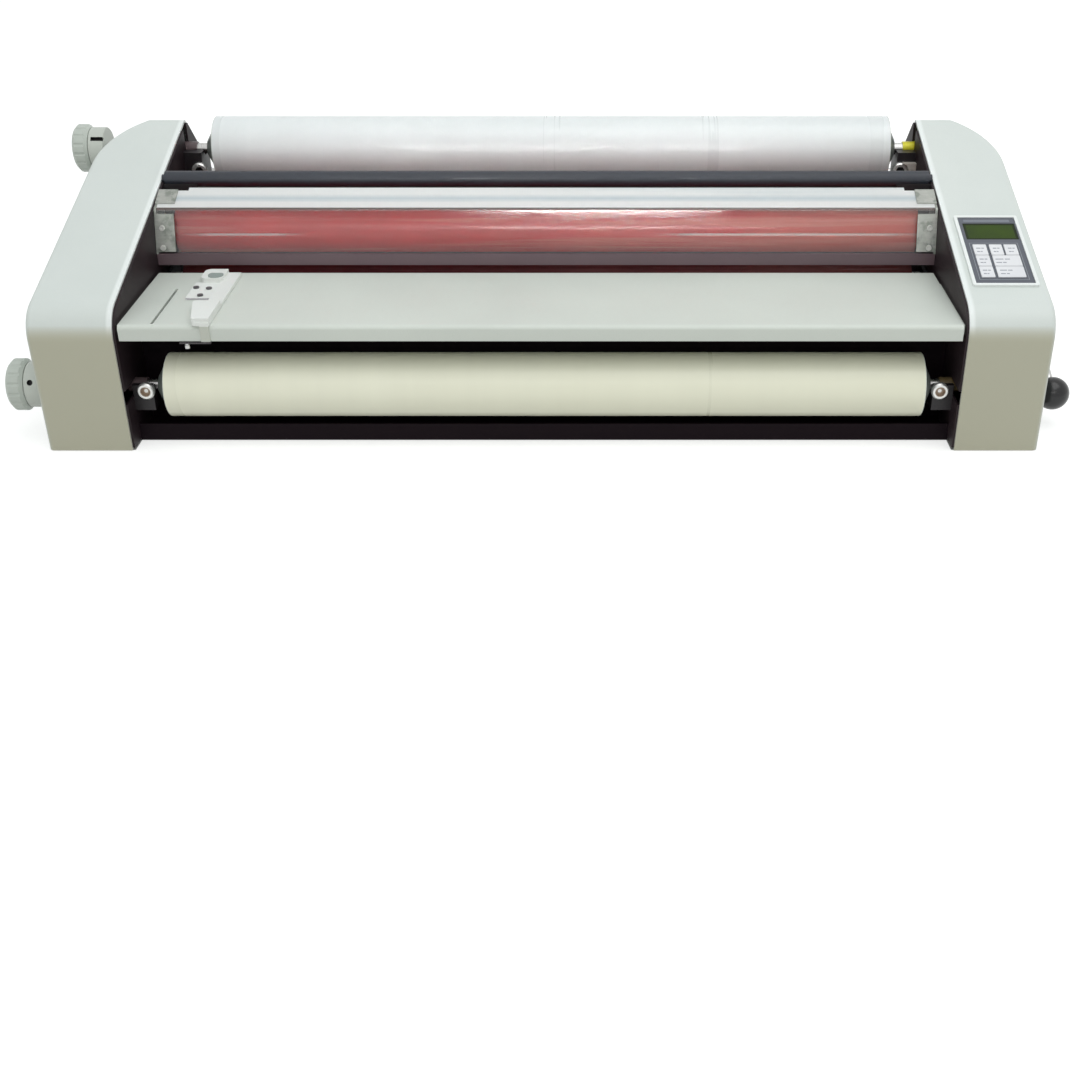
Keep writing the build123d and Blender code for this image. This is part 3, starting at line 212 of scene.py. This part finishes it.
    def shade(self, color, rough, metallic=0.0, normal=None, **more):
        """Material with one Principled shader."""
        values = {"Base Color": color, "Roughness": rough, "Metallic": metallic, **more}
        if normal is not None:
            values["Normal"] = normal
        return self.finish(self.node("ShaderNodeBsdfPrincipled", values).outputs[0])


def tint(color, f):
    """Colour made lighter or darker by a factor."""
    return (min(color[0] * f, 1), min(color[1] * f, 1), min(color[2] * f, 1), 1.0)


def painted(name, color, rough=0.42, vary=0.08, dust=None, gloss=0.5):
    """Powder-coated or sprayed sheet: fine orange peel, faint clouding and dust."""
    m = Nodes(name)
    cloud = m.noise(9.0, 4.0)
    fine = m.noise(950.0, 2.0, 0.5)
    speck = m.noise(3200.0, 1.0, 0.5)
    col = m.ramp(cloud, [(0.3, tint(color, 1 - vary)), (0.7, tint(color, 1 + vary))])
    if dust:
        col = m.mix(m.grey(m.noise(26.0, 6.0, 0.7), 0.0, 0.35, 0.5, 0.75), col, dust)
    col = m.mix(m.grey(speck, 0.0, 0.18, 0.45, 0.6), col, tint(color, 0.8))
    normal = m.bump(fine, 0.35, 0.00012)
    return m.shade(col, m.grey(cloud, rough - 0.06, rough + 0.06), 0.0, normal,
                   **{"Specular IOR Level": gloss})


def moulded(name, color, rough=0.5, vary=0.05, grain=0.00015):
    """Injection-moulded plastic with a fine spark-eroded grain."""
    m = Nodes(name)
    cloud = m.noise(14.0, 3.0)
    cells = m.cells(1400.0)
    fine = m.noise(980.0, 2.0)
    col = m.ramp(cloud, [(0.3, tint(color, 1 - vary)), (0.7, tint(color, 1 + vary))])
    col = m.mix(m.grey(fine, 0.0, 0.12, 0.45, 0.65), col, tint(color, 0.85))
    return m.shade(col, m.grey(cloud, rough - 0.05, rough + 0.07), 0.0, m.bump(cells, 0.25, grain))


def turned(name, color, rough=0.25):
    """Lathe-turned metal: fine marks round the X axis and faint streaks."""
    m = Nodes(name)
    marks = m.lathe_marks()
    streak = m.noise(20.0, 4.0, 0.6, (3.0, 1.0, 1.0))
    col = m.ramp(streak, [(0.3, tint(color, 0.88)), (0.7, tint(color, 1.12))])
    col = m.mix(m.grey(marks, 0.0, 0.35, 0.4, 0.7), col, tint(color, 0.75))
    return m.shade(col, m.grey(marks, rough - 0.06, rough + 0.14), 1.0, m.bump(marks, 0.2, 0.00005))


def zinc(name, color, rough=0.4):
    """Plated sheet metal with a soft spangle and stains; the screw heads on it are brighter."""
    m = Nodes(name)
    spangle = m.node("ShaderNodeRGBToBW", {"Color": m.cells(160.0, "Color")}).outputs[0]
    fine = m.noise(700.0, 3.0, 0.6, (0.15, 1.0, 1.0))
    stain = m.noise(90.0, 4.0, 0.6)
    col = m.ramp(fine, [(0.3, tint(color, 0.85)), (0.7, tint(color, 1.12))])
    r, g, b = color[:3]
    col = m.mix(m.grey(spangle, 0.0, 0.3, 0.3, 0.7), col, (r * 0.6, g * 0.66, b * 0.62, 1.0))
    col = m.mix(m.grey(stain, 0.0, 0.7, 0.5, 0.62), col, (r * 0.42, g * 0.47, b * 0.43, 1.0))
    x, y, z = m.place()
    side = m.calc("ABSOLUTE", x)
    for height in SCREW_Z:
        col = m.mix(m.near(side, z, (SCREW_X, height), SCREW_R), col, (0.85, 0.85, 0.82, 1.0))
    return m.shade(col, m.grey(fine, rough - 0.08, rough + 0.12), 0.8, m.bump(fine, 0.15, 0.00008))


def silicone(name, low, high, patch, streak):
    """Smooth silicone sleeve with paler patches and pale streaks along it; the streaks are a
    painted highlight.
    """
    m = Nodes(name)
    bands = m.noise(9.0, 4.0, 0.6, (1.0, 0.05, 0.05))
    streaks = m.noise(70.0, 3.0, 0.6, (0.03, 1.0, 1.0))
    patches = m.noise(4.0, 2.0, 0.5, (1.0, 0.6, 0.6))
    col = m.ramp(bands, [(0.3, low), (0.7, high)])
    col = m.mix(m.grey(patches, 0.0, 0.6, 0.46, 0.56), col, patch)
    # Painted highlight: pale streaks along the sleeve
    col = m.mix(m.grey(streaks, 0.0, 0.6, 0.49, 0.6), col, streak)
    normal = m.bump(m.noise(600.0, 2.0), 0.12, 0.00006)
    return m.shade(col, m.grey(streaks, 0.14, 0.3), 0.0, normal)


def film(name, color, patch, ior, axis):
    """Milky film: faint bands round the roll, fine layer lines and a card core on its ends."""
    m = Nodes(name)
    bands = m.noise(16.0, 5.0, 0.65, (1.0, 0.02, 0.02))
    soft = m.noise(4.0, 3.0, 0.5, (1.0, 0.6, 0.6))
    col = m.ramp(bands, [(0.25, tint(color, 0.95)), (0.75, tint(color, 1.02))])
    col = m.mix(m.grey(soft, 0.0, 0.5, 0.4, 0.7), col, patch)
    x, y, z = m.place()
    radius = m.reach(y, z, *axis)
    flat = m.node("ShaderNodeCombineXYZ", {"X": m.times(radius, 4000.0)}).outputs[0]
    layers = m.node("ShaderNodeTexNoise", {
        "Vector": flat, "Scale": 1.0, "Detail": 3.0}).outputs["Fac"]
    end = m.calc("SUBTRACT", 1.0, m.between(x, *FILM_X))
    side = m.ramp(layers, [(0.35, srgb(168, 178, 172)), (0.6, srgb(212, 216, 208))])
    side = m.mix(m.between(radius, -1.0, CORE_R), side, srgb(150, 122, 92))
    col = m.mix(end, col, side)
    normal = m.bump(m.noise(70.0, 3.0, 0.5, (1.0, 0.03, 0.03)), 0.08, 0.0003)
    return m.shade(col, m.grey(bands, 0.24, 0.36), 0.0, normal, IOR=ior)


def acrylic():
    """Acrylic sheet: clear in front with a trace of dust, opal on its top slope."""
    m = Nodes("ShieldClear")
    dust = m.noise(18.0, 5.0, 0.7, (0.2, 1.0, 1.0))
    streak = m.noise(30.0, 3.0, 0.6, (0.04, 1.0, 1.0))
    normal = m.bump(m.noise(3.0, 2.0), 0.05, 0.002)
    x, y, z = m.place()
    top = m.between(z, BEND_Z, 1.0, 0.0003)
    bend = m.between(z, BEND_Z + FOLD_DARK, BEND_Z, 0.0004)
    tone = m.ramp(streak, [(0.4, srgb(222, 232, 234)), (0.56, srgb(252, 254, 253))])
    above = m.calc("SUBTRACT", z, BEND_Z)
    tone = m.mix(m.between(above, *FOLD_GREY, 0.0012), tone, srgb(208, 221, 226))
    tone = m.mix(m.between(above, 0.0, FOLD_WHITE, 0.0004), tone, srgb(254, 255, 254))
    tone = m.mix(bend, tone, srgb(110, 84, 76))
    # Veil: dust, the opal top, the dark fold and a painted highlight streak near each end
    # Painted highlight: a pale streak across the front near each end
    painted_highlight = m.calc("ADD", m.between(x, *HIGHLIGHT_LEFT, 0.015), m.between(x, *HIGHLIGHT_RIGHT, 0.02))
    painted_highlight = m.times(m.between(above, *HIGHLIGHT_Z, 0.0004), painted_highlight)
    veil = m.calc("ADD", m.grey(dust, 0.0, 0.03), m.times(top, 0.86))
    veil = m.calc("ADD", veil, m.times(painted_highlight, 0.4))
    veil = m.calc("MINIMUM", m.calc("ADD", veil, m.times(bend, 0.6)), 1.0)
    clear = m.node("ShaderNodeBsdfTransparent", {"Color": (0.95, 0.965, 0.955, 1.0)}).outputs[0]
    front = m.node("ShaderNodeBsdfPrincipled", {
        "Base Color": tone, "Roughness": 0.3, "Normal": normal}).outputs[0]
    through = m.node("ShaderNodeBsdfTranslucent", {"Color": tone}).outputs[0]
    gloss = m.node("ShaderNodeBsdfGlossy", {
        "Color": (1, 1, 1, 1), "Roughness": 0.04, "Normal": normal}).outputs[0]
    mirror = m.node("ShaderNodeFresnel", {"IOR": 1.49}).outputs[0]
    hazy = m.blended(veil, clear, m.blended(0.25, front, through))
    return m.finish(m.blended(mirror, hazy, gloss))


def rubber(name, color, rough=0.6):
    """Rubber with a fine grain and paler dusty patches."""
    m = Nodes(name)
    fine = m.noise(500.0, 4.0, 0.6)
    dusty = m.noise(30.0, 5.0, 0.7)
    col = m.mix(m.grey(dusty, 0.0, 0.4, 0.5, 0.8), tint(color, 1.0), tint(color, 2.2))
    return m.shade(col, m.grey(fine, rough - 0.08, rough + 0.12), 0.0, m.bump(fine, 0.3, 0.0001))


def panel_offset(m):
    """Distances from the panel's middle along X, Y and Z, in millimetres."""
    return [m.times(m.calc("SUBTRACT", socket, centre), 1000.0)
            for socket, centre in zip(m.place(), PANEL)]


def panel_place(m):
    """Distances across and up the slope from the panel's middle, in millimetres."""
    across, back, high = panel_offset(m)
    return across, m.calc("ADD", m.times(back, math.cos(SLOPE)), m.times(high, math.sin(SLOPE)))


def panel_lift(m):
    """Height above the cover's slope, in millimetres."""
    across, back, high = panel_offset(m)
    return m.calc("SUBTRACT", m.times(high, math.cos(SLOPE)), m.times(back, math.sin(SLOPE)))


def frame_line(m, across, up, box, width):
    """1 on the outline of a box (left, right, low, high), else 0."""
    left, right, low, high = box
    inner = (left + width, right - width, low + width, high - width)
    return m.calc("SUBTRACT", m.framed(across, up, box), m.framed(across, up, inner))


def cover_paint():
    """Pale powder coat of the side covers, with painted highlights on the panel's rim and their
    inner edges, painted shade on the front (darker and warmer), and painted shade low inside."""
    m = Nodes("CoverGrey")
    across, up = panel_place(m)
    cloud = m.noise(9.0, 4.0)
    fine = m.noise(950.0, 2.0, 0.5)
    speck = m.noise(3200.0, 1.0, 0.5)
    col = m.ramp(cloud, [(0.3, srgb(213, 219, 215)), (0.7, srgb(219, 224, 220))])
    col = m.mix(m.grey(speck, 0.0, 0.15, 0.45, 0.6), col, srgb(190, 195, 190))
    # Painted highlight on the panel's raised rim
    rim = m.times(m.framed(across, up, RIM_BOX), m.between(panel_lift(m), *RIM_LIFT, 0.2))
    col = m.mix(rim, col, srgb(236, 239, 237))
    x, y, z = m.place()
    side = m.calc("ABSOLUTE", x)
    # Painted highlight along the inner edges beside the side plates
    edge = m.between(side, PLATE_X - 0.001, PLATE_X + 0.0045, 0.0012)
    col = m.mix(m.times(edge, 0.8), col, srgb(240, 244, 242))
    # Painted shade: the front faces darker and warmer than the nose and top
    col = m.mix(m.between(y, -1.0, FRONT + 0.0016, 0.0016), col, srgb(186, 184, 164))
    # Painted shade low inside the covers, dark where the floor would show through
    within = COVER_WALL - 0.0002
    painted_hollow_shade = m.times(m.between(side, 0.3, COVER_X - within),
                     m.inside(None, (FRONT + within, 0.0), (-0.1, 0.09)))
    col = m.mix(painted_hollow_shade, col, srgb(30, 26, 28))
    return m.shade(col, m.grey(cloud, 0.4, 0.52), 0.0, m.bump(fine, 0.35, 0.00012))


def screen():
    """Dark green liquid-crystal window with its fine dot grid and darker edges."""
    m = Nodes("ScreenGreen")
    across, up = panel_place(m)
    grid = m.node("ShaderNodeTexBrick", {
        "Vector": m.scaled(900.0, 900.0, 900.0), "Scale": 1.0, "Mortar Size": 0.06,
        "Color1": srgb(54, 76, 12), "Color2": srgb(46, 68, 10),
        "Mortar": srgb(34, 52, 8)}).outputs["Color"]
    glow = m.noise(30.0, 2.0)
    col = m.mix(m.grey(glow, 0.0, 0.4), grid, srgb(66, 90, 16))
    col = m.mix(frame_line(m, across, up, SCREEN_BOX, 2.5), col, srgb(30, 42, 10))
    return m.shade(col, m.grey(glow, 0.4, 0.5), 0.0, None, **{"Specular IOR Level": 0.15})


def overlay():
    """Slate printed sheet with a paler head bar and a fine pale line round the key field."""
    m = Nodes("OverlaySlate")
    across, up = panel_place(m)
    fine = m.noise(1600.0, 2.0)
    cloud = m.noise(25.0, 3.0)
    col = m.ramp(cloud, [(0.3, srgb(80, 84, 94)), (0.7, srgb(88, 92, 102))])
    col = m.mix(m.framed(across, up, HEAD_BAR), col, srgb(118, 122, 132))
    col = m.mix(frame_line(m, across, up, KEY_FIELD, 0.5), col, srgb(140, 144, 150))
    col = m.mix(m.grey(fine, 0.0, 0.15, 0.45, 0.65), col, srgb(70, 74, 84))
    return m.shade(col, m.grey(cloud, 0.36, 0.46), 0.0, m.bump(fine, 0.1, 0.00003))


def key_cap(name, marks):
    """Off-white key with faint grey marks: boxes (left, right, low, high) in panel millimetres."""
    m = Nodes(name)
    across, up = panel_place(m)
    fine = m.noise(1500.0, 2.0)
    cloud = m.noise(40.0, 3.0)
    col = m.ramp(cloud, [(0.3, srgb(224, 224, 228)), (0.7, srgb(232, 232, 234))])
    for box in marks:
        col = m.mix(m.times(m.framed(across, up, box), 0.75), col, srgb(104, 108, 124))
    return m.shade(col, m.grey(fine, 0.36, 0.46), 0.0, m.bump(fine, 0.15, 0.00004))


def with_mask(name, color, masked):
    """Moulded plastic whose colour changes inside boxes: (box, colour, roughness)."""
    m = Nodes(name)
    cloud = m.noise(14.0, 3.0)
    fine = m.noise(1100.0, 2.0)
    cells = m.cells(1400.0)
    col = m.ramp(cloud, [(0.3, tint(color, 0.96)), (0.7, tint(color, 1.04))])
    shine = m.grey(cloud, 0.4, 0.52)
    for box, other, other_rough in masked:
        here = m.inside(*box)
        col = m.mix(here, col, other)
        shine = m.mix(here, shine, (other_rough, other_rough, other_rough, 1.0))
    col = m.mix(m.grey(fine, 0.0, 0.1, 0.45, 0.65), col, tint(color, 0.8))
    return m.shade(col, shine, 0.0, m.bump(cells, 0.22, 0.00012))


def shaft_with_housing():
    """Turned steel shaft; its clutch housing outside the cover is pale plastic, with painted shade
    in its cut.
    """
    m = Nodes("ShaftAndHousing")
    here = m.inside(x=HOUSING_X)
    x, y, z = m.place()
    deep = m.calc("MINIMUM", m.reach(y, z, *UPPER_ROLL), m.reach(y, z, *LOWER_ROLL))
    # Painted shade in the cut of the housing
    cut = m.times(m.between(deep, -1.0, HOUSING_CUT_R), m.inside(x=HOUSING_CUT_X))
    marks = m.lathe_marks()
    cloud = m.noise(20.0, 3.0)
    steel = m.ramp(marks, [(0.3, (0.42, 0.42, 0.42, 1)), (0.7, (0.62, 0.62, 0.6, 1))])
    plastic = m.ramp(cloud, [(0.3, srgb(190, 194, 186)), (0.7, srgb(200, 204, 196))])
    col = m.mix(cut, m.mix(here, steel, plastic), srgb(14, 13, 14))
    rough = m.mix(here, m.grey(marks, 0.2, 0.36), (0.45, 0.45, 0.45, 1))
    return m.shade(col, rough, m.calc("SUBTRACT", 1.0, here), m.bump(marks, 0.15, 0.00004))


def bush_metal():
    """Turned brass, painted lit and shaded: bright yellow painted light on the right upper film
    shaft, painted shade on the left pair, and duller on the lower right.
    """
    m = Nodes("BushBrass")
    marks = m.lathe_marks()
    axis_y, axis_z = UPPER_ROLL
    up_y = (axis_y - BUSH_R, axis_y + BUSH_R)
    # Painted shade: the left pair of bushes dark
    left = m.times(m.inside(x=(-BUSH_SIDE[1], -BUSH_SIDE[0]), z=(LOW_BUSH_Z[0], axis_z + BUSH_R)),
                   m.calc("MAXIMUM", m.inside(y=up_y), m.inside(y=LOW_BUSH_Y)))
    # Painted light: the right upper bush bright yellow and less metallic
    yellow = m.inside(BUSH_SIDE, up_y, (axis_z - BUSH_R, axis_z + BUSH_R))
    dull = m.inside(BUSH_SIDE, LOW_BUSH_Y, LOW_BUSH_Z)
    col = m.ramp(marks, [(0.3, (0.70, 0.52, 0.12, 1)), (0.7, (0.90, 0.70, 0.2, 1))])
    col = m.mix(left, col, srgb(92, 78, 80))
    col = m.mix(yellow, col, srgb(206, 198, 36))
    col = m.mix(dull, col, srgb(112, 96, 66))
    covered = m.calc("ADD", left, m.calc("ADD", m.times(yellow, 0.8), dull))
    metal = m.calc("SUBTRACT", 1.0, covered)
    return m.shade(col, m.grey(marks, 0.24, 0.4), metal, m.bump(marks, 0.2, 0.00005))


def socket_metal():
    """Bright screw heads: painted shade in the sockets of the upper pair, a brown ring on the lower
    pair.
    """
    m = Nodes("SocketBright")
    marks = m.lathe_marks((0.6, 60.0, 0.6))
    x, y, z = m.place()
    side = m.calc("ABSOLUTE", x)
    # Painted shade in the sockets of the upper screws
    up_hole = m.near(side, z, UP_SCREW[:2], SOCKET_R)
    up_hole = m.times(up_hole, m.between(y, UP_SCREW[2] + 0.0005, 1.0))
    low_ring = m.between(m.reach(side, z, *LOW_SCREW[:2]), *SOCKET_RING, 0.0003)
    low_ring = m.times(low_ring, m.between(y, -1.0, LOW_SCREW[2] + 0.006))
    col = m.ramp(marks, [(0.3, (0.62, 0.62, 0.6, 1)), (0.7, (0.8, 0.8, 0.78, 1))])
    col = m.mix(low_ring, m.mix(up_hole, col, srgb(10, 10, 11)), srgb(168, 146, 126))
    metal = m.grey(m.calc("MAXIMUM", up_hole, low_ring), 0.75, 0.0, 0.0, 1.0)
    return m.shade(col, m.grey(marks, 0.24, 0.38), metal, m.bump(marks, 0.15, 0.00004))


# Materials by short name, then the one of each node
MATS = {
    "cover": cover_paint(),
    "frame": painted("FrameDark", srgb(38, 28, 32), 0.55, 0.15, dust=srgb(56, 46, 49), gloss=0.25),
    "table": painted("TableGrey", srgb(212, 217, 209), 0.4, 0.03),
    "rear": painted("RearGrey", srgb(205, 208, 200), 0.42, 0.03),
    "base": painted("BaseDark", srgb(26, 18, 23), 0.65, 0.15, dust=srgb(34, 26, 30), gloss=0.08),
    "steel": turned("SteelTurned", (0.55, 0.55, 0.54, 1.0)),
    "socket": socket_metal(),
    "steel_dark": turned("SteelDark", (0.09, 0.09, 0.1, 1.0), 0.38),
    "bar": moulded("BarDark", srgb(38, 43, 52), 0.42, 0.1),
    "silicone": silicone("SiliconeRed", srgb(212, 34, 42), srgb(230, 50, 54),
                         srgb(236, 112, 92), srgb(240, 142, 130)),
    # The lower sleeve is the same red silicone in darker colours: painted shade
    "silicone_low": silicone("SiliconeRedPaintedShade", srgb(84, 34, 38), srgb(96, 42, 46),
                             srgb(112, 62, 60), srgb(120, 74, 74)),
    "roller_grey": rubber("RollerGrey", srgb(62, 62, 66)),
    "brass": bush_metal(),
    "nylon": moulded("GearNylon", srgb(214, 208, 188), 0.45),
    "pinion": turned("PinionSteel", (0.4, 0.4, 0.41, 1.0), 0.3),
    "motor": painted("MotorGrey", srgb(96, 98, 100), 0.45, 0.08),
    "supports": with_mask("SupportBlack", srgb(25, 21, 24), [
        (SUPPORT_CLIP, srgb(188, 180, 172), 0.45)]),
    "chuck": moulded("ChuckGrey", srgb(118, 124, 120), 0.35),
    "film_up": film("FilmUpper", srgb(227, 231, 231), srgb(222, 227, 227), 1.6, UPPER_ROLL),
    "film_low": film("FilmLower", srgb(246, 245, 224), srgb(242, 241, 218), 1.45, LOWER_ROLL),
    "shaft": shaft_with_housing(),
    "knob": moulded("KnobGrey", srgb(192, 198, 190), 0.42),
    "ball": moulded("BallBlack", srgb(16, 16, 18), 0.22, 0.05, 0.00003),
    "acrylic": acrylic(),
    "zinc": zinc("BracketZinc", (0.42, 0.43, 0.40, 1.0)),
    "trim": moulded("TrimDark", srgb(100, 82, 88), 0.4),
    "guide": with_mask("GuideWhite", srgb(232, 234, 230), [
        (GUIDE_PLATE, srgb(196, 192, 198), 0.45), (GUIDE_SCREWS, srgb(70, 68, 72), 0.4),
        (GUIDE_DISC, srgb(146, 158, 154), 0.4), (GUIDE_LIP, srgb(196, 199, 188), 0.45),
        (GUIDE_HOOK, srgb(60, 54, 58), 0.5)]),
    "board": painted("BoardGreen", srgb(28, 92, 52), 0.4, 0.1),
    "overlay": overlay(),
    "screen": screen(),
    "alu": zinc("HousingMetal", (0.6, 0.61, 0.63, 1.0)),
    "inlet": moulded("InletBlack", srgb(24, 24, 26), 0.4),
    "rocker": moulded("RockerRed", srgb(150, 22, 20), 0.3),
    "foot": rubber("FootRubber", srgb(26, 26, 26)),
}

NODE_MATS = {
    "side_plate_left": "frame", "side_plate_right": "frame", "side_cover_left": "cover",
    "side_cover_right": "cover", "base_pan": "base", "rear_panel": "rear", "feed_table": "table",
    "frame_rods": "steel", "roller_bushes": "brass", "shaft_supports": "supports",
    "retainer_screws": "socket", "rubber_feet": "foot", "cover_screws": "steel",
    "drive_motor": "motor", "control_board": "board", "power_supply": "alu", "power_inlet": "inlet",
    "panel_overlay": "overlay", "lcd_window": "screen", "upper_heater": "steel",
    "upper_heat_roller": "steel", "upper_heat_sleeve": "silicone", "upper_heat_gear": "nylon",
    "lower_heat_roller": "steel", "lower_heat_sleeve": "silicone_low", "lower_heat_gear": "nylon",
    "lower_bearing_blocks": "steel_dark", "lower_heater": "steel",
    "upper_pull_roller": "roller_grey", "upper_pull_gear": "nylon",
    "lower_pull_roller": "roller_grey", "lower_pull_gear": "nylon", "drive_idler_gear": "nylon",
    "motor_pinion": "pinion", "pressure_shaft": "steel", "pressure_lever": "steel",
    "lever_ball": "ball", "shield_window": "acrylic", "shield_brackets": "zinc",
    "shield_trim": "trim", "upper_supply_shaft": "shaft", "upper_film_roll": "film_up",
    "upper_core_chucks": "chuck", "lower_supply_shaft": "shaft", "lower_film_roll": "film_low",
    "lower_core_chucks": "chuck", "upper_tension_knob": "knob", "lower_tension_knob": "knob",
    "upper_idler_bar": "bar", "lower_idler_bar": "bar", "paper_guide": "guide",
    "guide_clamp_screw": "steel", "power_rocker": "rocker",
}

# Keys in panel millimetres: the middle of each row, then each key's middle, row and mark width
KEY_ROWS = (-0.6, -17.1, -33.6)
KEY_PLACES = ((-13.6, 0, 7.0), (0.8, 0, 6.0), (14.4, 0, 6.0),
              (-13.6, 1, 7.0), (3.5, 1, 13.0), (-13.6, 2, 7.0), (3.5, 2, 11.0))
MARK_H = 1.3


def key_marks(middle, row, width):
    """Bars (left, right, low, high) in two lines round the middle of a key."""
    marks = []
    left = middle - width / 2
    for line, share in ((2.6, 1.0), (-2.4, 0.7)):
        high = KEY_ROWS[row] + line
        length = width * share
        for start, end in ((0.0, 0.55), (0.65, 1.0)):
            marks.append((left + length * start, left + length * end, high - MARK_H, high))
    return marks


for number, key_place in enumerate(KEY_PLACES, 1):
    MATS[f"key_{number}"] = key_cap(f"Key{number}White", key_marks(*key_place))
    NODE_MATS[f"key_{number}"] = f"key_{number}"


def set_material(obj, mat):
    """One material in every slot of an object."""
    if obj.data.materials:
        for i in range(len(obj.data.materials)):
            obj.data.materials[i] = mat
    else:
        obj.data.materials.append(mat)


for node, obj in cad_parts.items():
    set_material(obj, MATS[NODE_MATS[node]])

# Camera at the photograph's view
cam_data = bpy.data.cameras.new("View")
cam = bpy.data.objects.new("View", cam_data)
bpy.context.collection.objects.link(cam)
cam_data.lens = 47.43
cam_data.sensor_width = 36.0
cam_data.shift_x = -0.0593
cam.location = (0.0544, -1.3396, 0.5689)
cam.rotation_euler = (math.radians(60), 0, 0)
bpy.context.scene.camera = cam


# Light, floor and background
def area(name, where, aim, size, power, color=(1, 1, 1), height=None, spread=None):
    """Area lamp aimed at a point: square, or a strip with a height; spread is in degrees."""
    data = bpy.data.lights.new(name, "AREA")
    data.energy = power
    data.size = size
    data.color = color
    if height:
        data.shape = "RECTANGLE"
        data.size_y = height
    if spread:
        data.spread = math.radians(spread)
    obj = bpy.data.objects.new(name, data)
    bpy.context.collection.objects.link(obj)
    obj.location = where
    obj.rotation_euler = (Vector(aim) - Vector(where)).to_track_quat("-Z", "Y").to_euler()


area("KeySoft", (0.45, -0.55, 2.05), (0.0, 0.0, 0.1), 1.8, 16.5)
area("TubeFront", (0.0, -1.75, 1.02), (0.0, -0.05, 0.15), 1.3, 2.6, (1.0, 0.99, 0.96), 0.05)
area("BandFront", (0.0, -1.6, 0.67), (0.0, 0.08, 0.19), 0.6, 0.075, height=0.06, spread=12.0)


def shown_to(tree):
    """1 for rays that see the background: camera, glossy and transmission rays."""
    paths = tree.nodes.new("ShaderNodeLightPath")
    total = paths.outputs["Is Camera Ray"]
    for name in ("Is Glossy Ray", "Is Transmission Ray"):
        most = tree.nodes.new("ShaderNodeMath")
        most.operation = "MAXIMUM"
        tree.links.new(total, most.inputs[0])
        tree.links.new(paths.outputs[name], most.inputs[1])
        total = most.outputs[0]
    return total


world = bpy.data.worlds.new("Studio")
bpy.context.scene.world = world
world.use_nodes = True
wt = world.node_tree
wt.nodes.clear()
ray = wt.nodes.new("ShaderNodeTexCoord")
up = wt.nodes.new("ShaderNodeSeparateXYZ")
sky = wt.nodes.new("ShaderNodeValToRGB")
low, high = sky.color_ramp.elements
low.position, low.color = 0.0, (0.50, 0.49, 0.45, 1.0)
high.position, high.color = 0.6, (0.64, 0.68, 0.69, 1.0)
soft = wt.nodes.new("ShaderNodeBackground")
white = wt.nodes.new("ShaderNodeBackground")
white.inputs["Color"].default_value = (1.0, 1.0, 1.0, 1.0)
mixer = wt.nodes.new("ShaderNodeMixShader")
world_out = wt.nodes.new("ShaderNodeOutputWorld")
for source, target in (
        (ray.outputs["Generated"], up.inputs[0]), (up.outputs["Z"], sky.inputs[0]),
        (sky.outputs[0], soft.inputs["Color"]), (shown_to(wt), mixer.inputs[0]),
        (soft.outputs[0], mixer.inputs[1]), (white.outputs[0], mixer.inputs[2]),
        (mixer.outputs[0], world_out.inputs["Surface"])):
    wt.links.new(source, target)

floor_mesh = bpy.data.meshes.new("Floor")
bm = bmesh.new()
bmesh.ops.create_grid(bm, x_segments=1, y_segments=1, size=9.0)
bm.to_mesh(floor_mesh)
bm.free()
floor = bpy.data.objects.new("Floor", floor_mesh)
bpy.context.collection.objects.link(floor)


def floor_paint():
    """Pale matt floor that shows as white, except under the machine, where it would shine up."""
    m = Nodes("FloorPale")
    pale = m.ramp(m.noise(2.0, 2.0), [(0.3, (0.61, 0.61, 0.60, 1)), (0.7, (0.63, 0.63, 0.62, 1))])
    matt = m.node("ShaderNodeBsdfPrincipled", {"Base Color": pale, "Roughness": 0.8}).outputs[0]
    glow = m.node("ShaderNodeEmission", {"Color": (1.0, 1.0, 1.0, 1.0), "Strength": 0.6}).outputs[0]
    none = m.node("ShaderNodeEmission", {"Color": (0.0, 0.0, 0.0, 1.0), "Strength": 0.0}).outputs[0]
    x, y, z = m.place()
    side = m.calc("ABSOLUTE", x)
    edge = COVER_X - 0.002
    straight = m.inside((-edge, edge), (FRONT + COVER_WALL, CORNER_Y))
    corner = m.near(side, y, (COVER_X - CORNER_R, CORNER_Y), CORNER_R - 0.003)
    hollows = m.times(m.calc("MAXIMUM", straight, corner), m.calc("GREATER_THAN", side, GAP_X))
    covered = m.calc("MAXIMUM", m.inside((-GAP_X, GAP_X), PAN_Y), hollows)
    share = m.times(shown_to(m.tree), m.calc("SUBTRACT", 1.0, covered))
    both = m.node("ShaderNodeAddShader", {0: matt, 1: m.blended(share, none, glow)}).outputs[0]
    return m.finish(both)


floor_mesh.materials.append(floor_paint())

bpy.context.scene.view_settings.view_transform = "Standard"
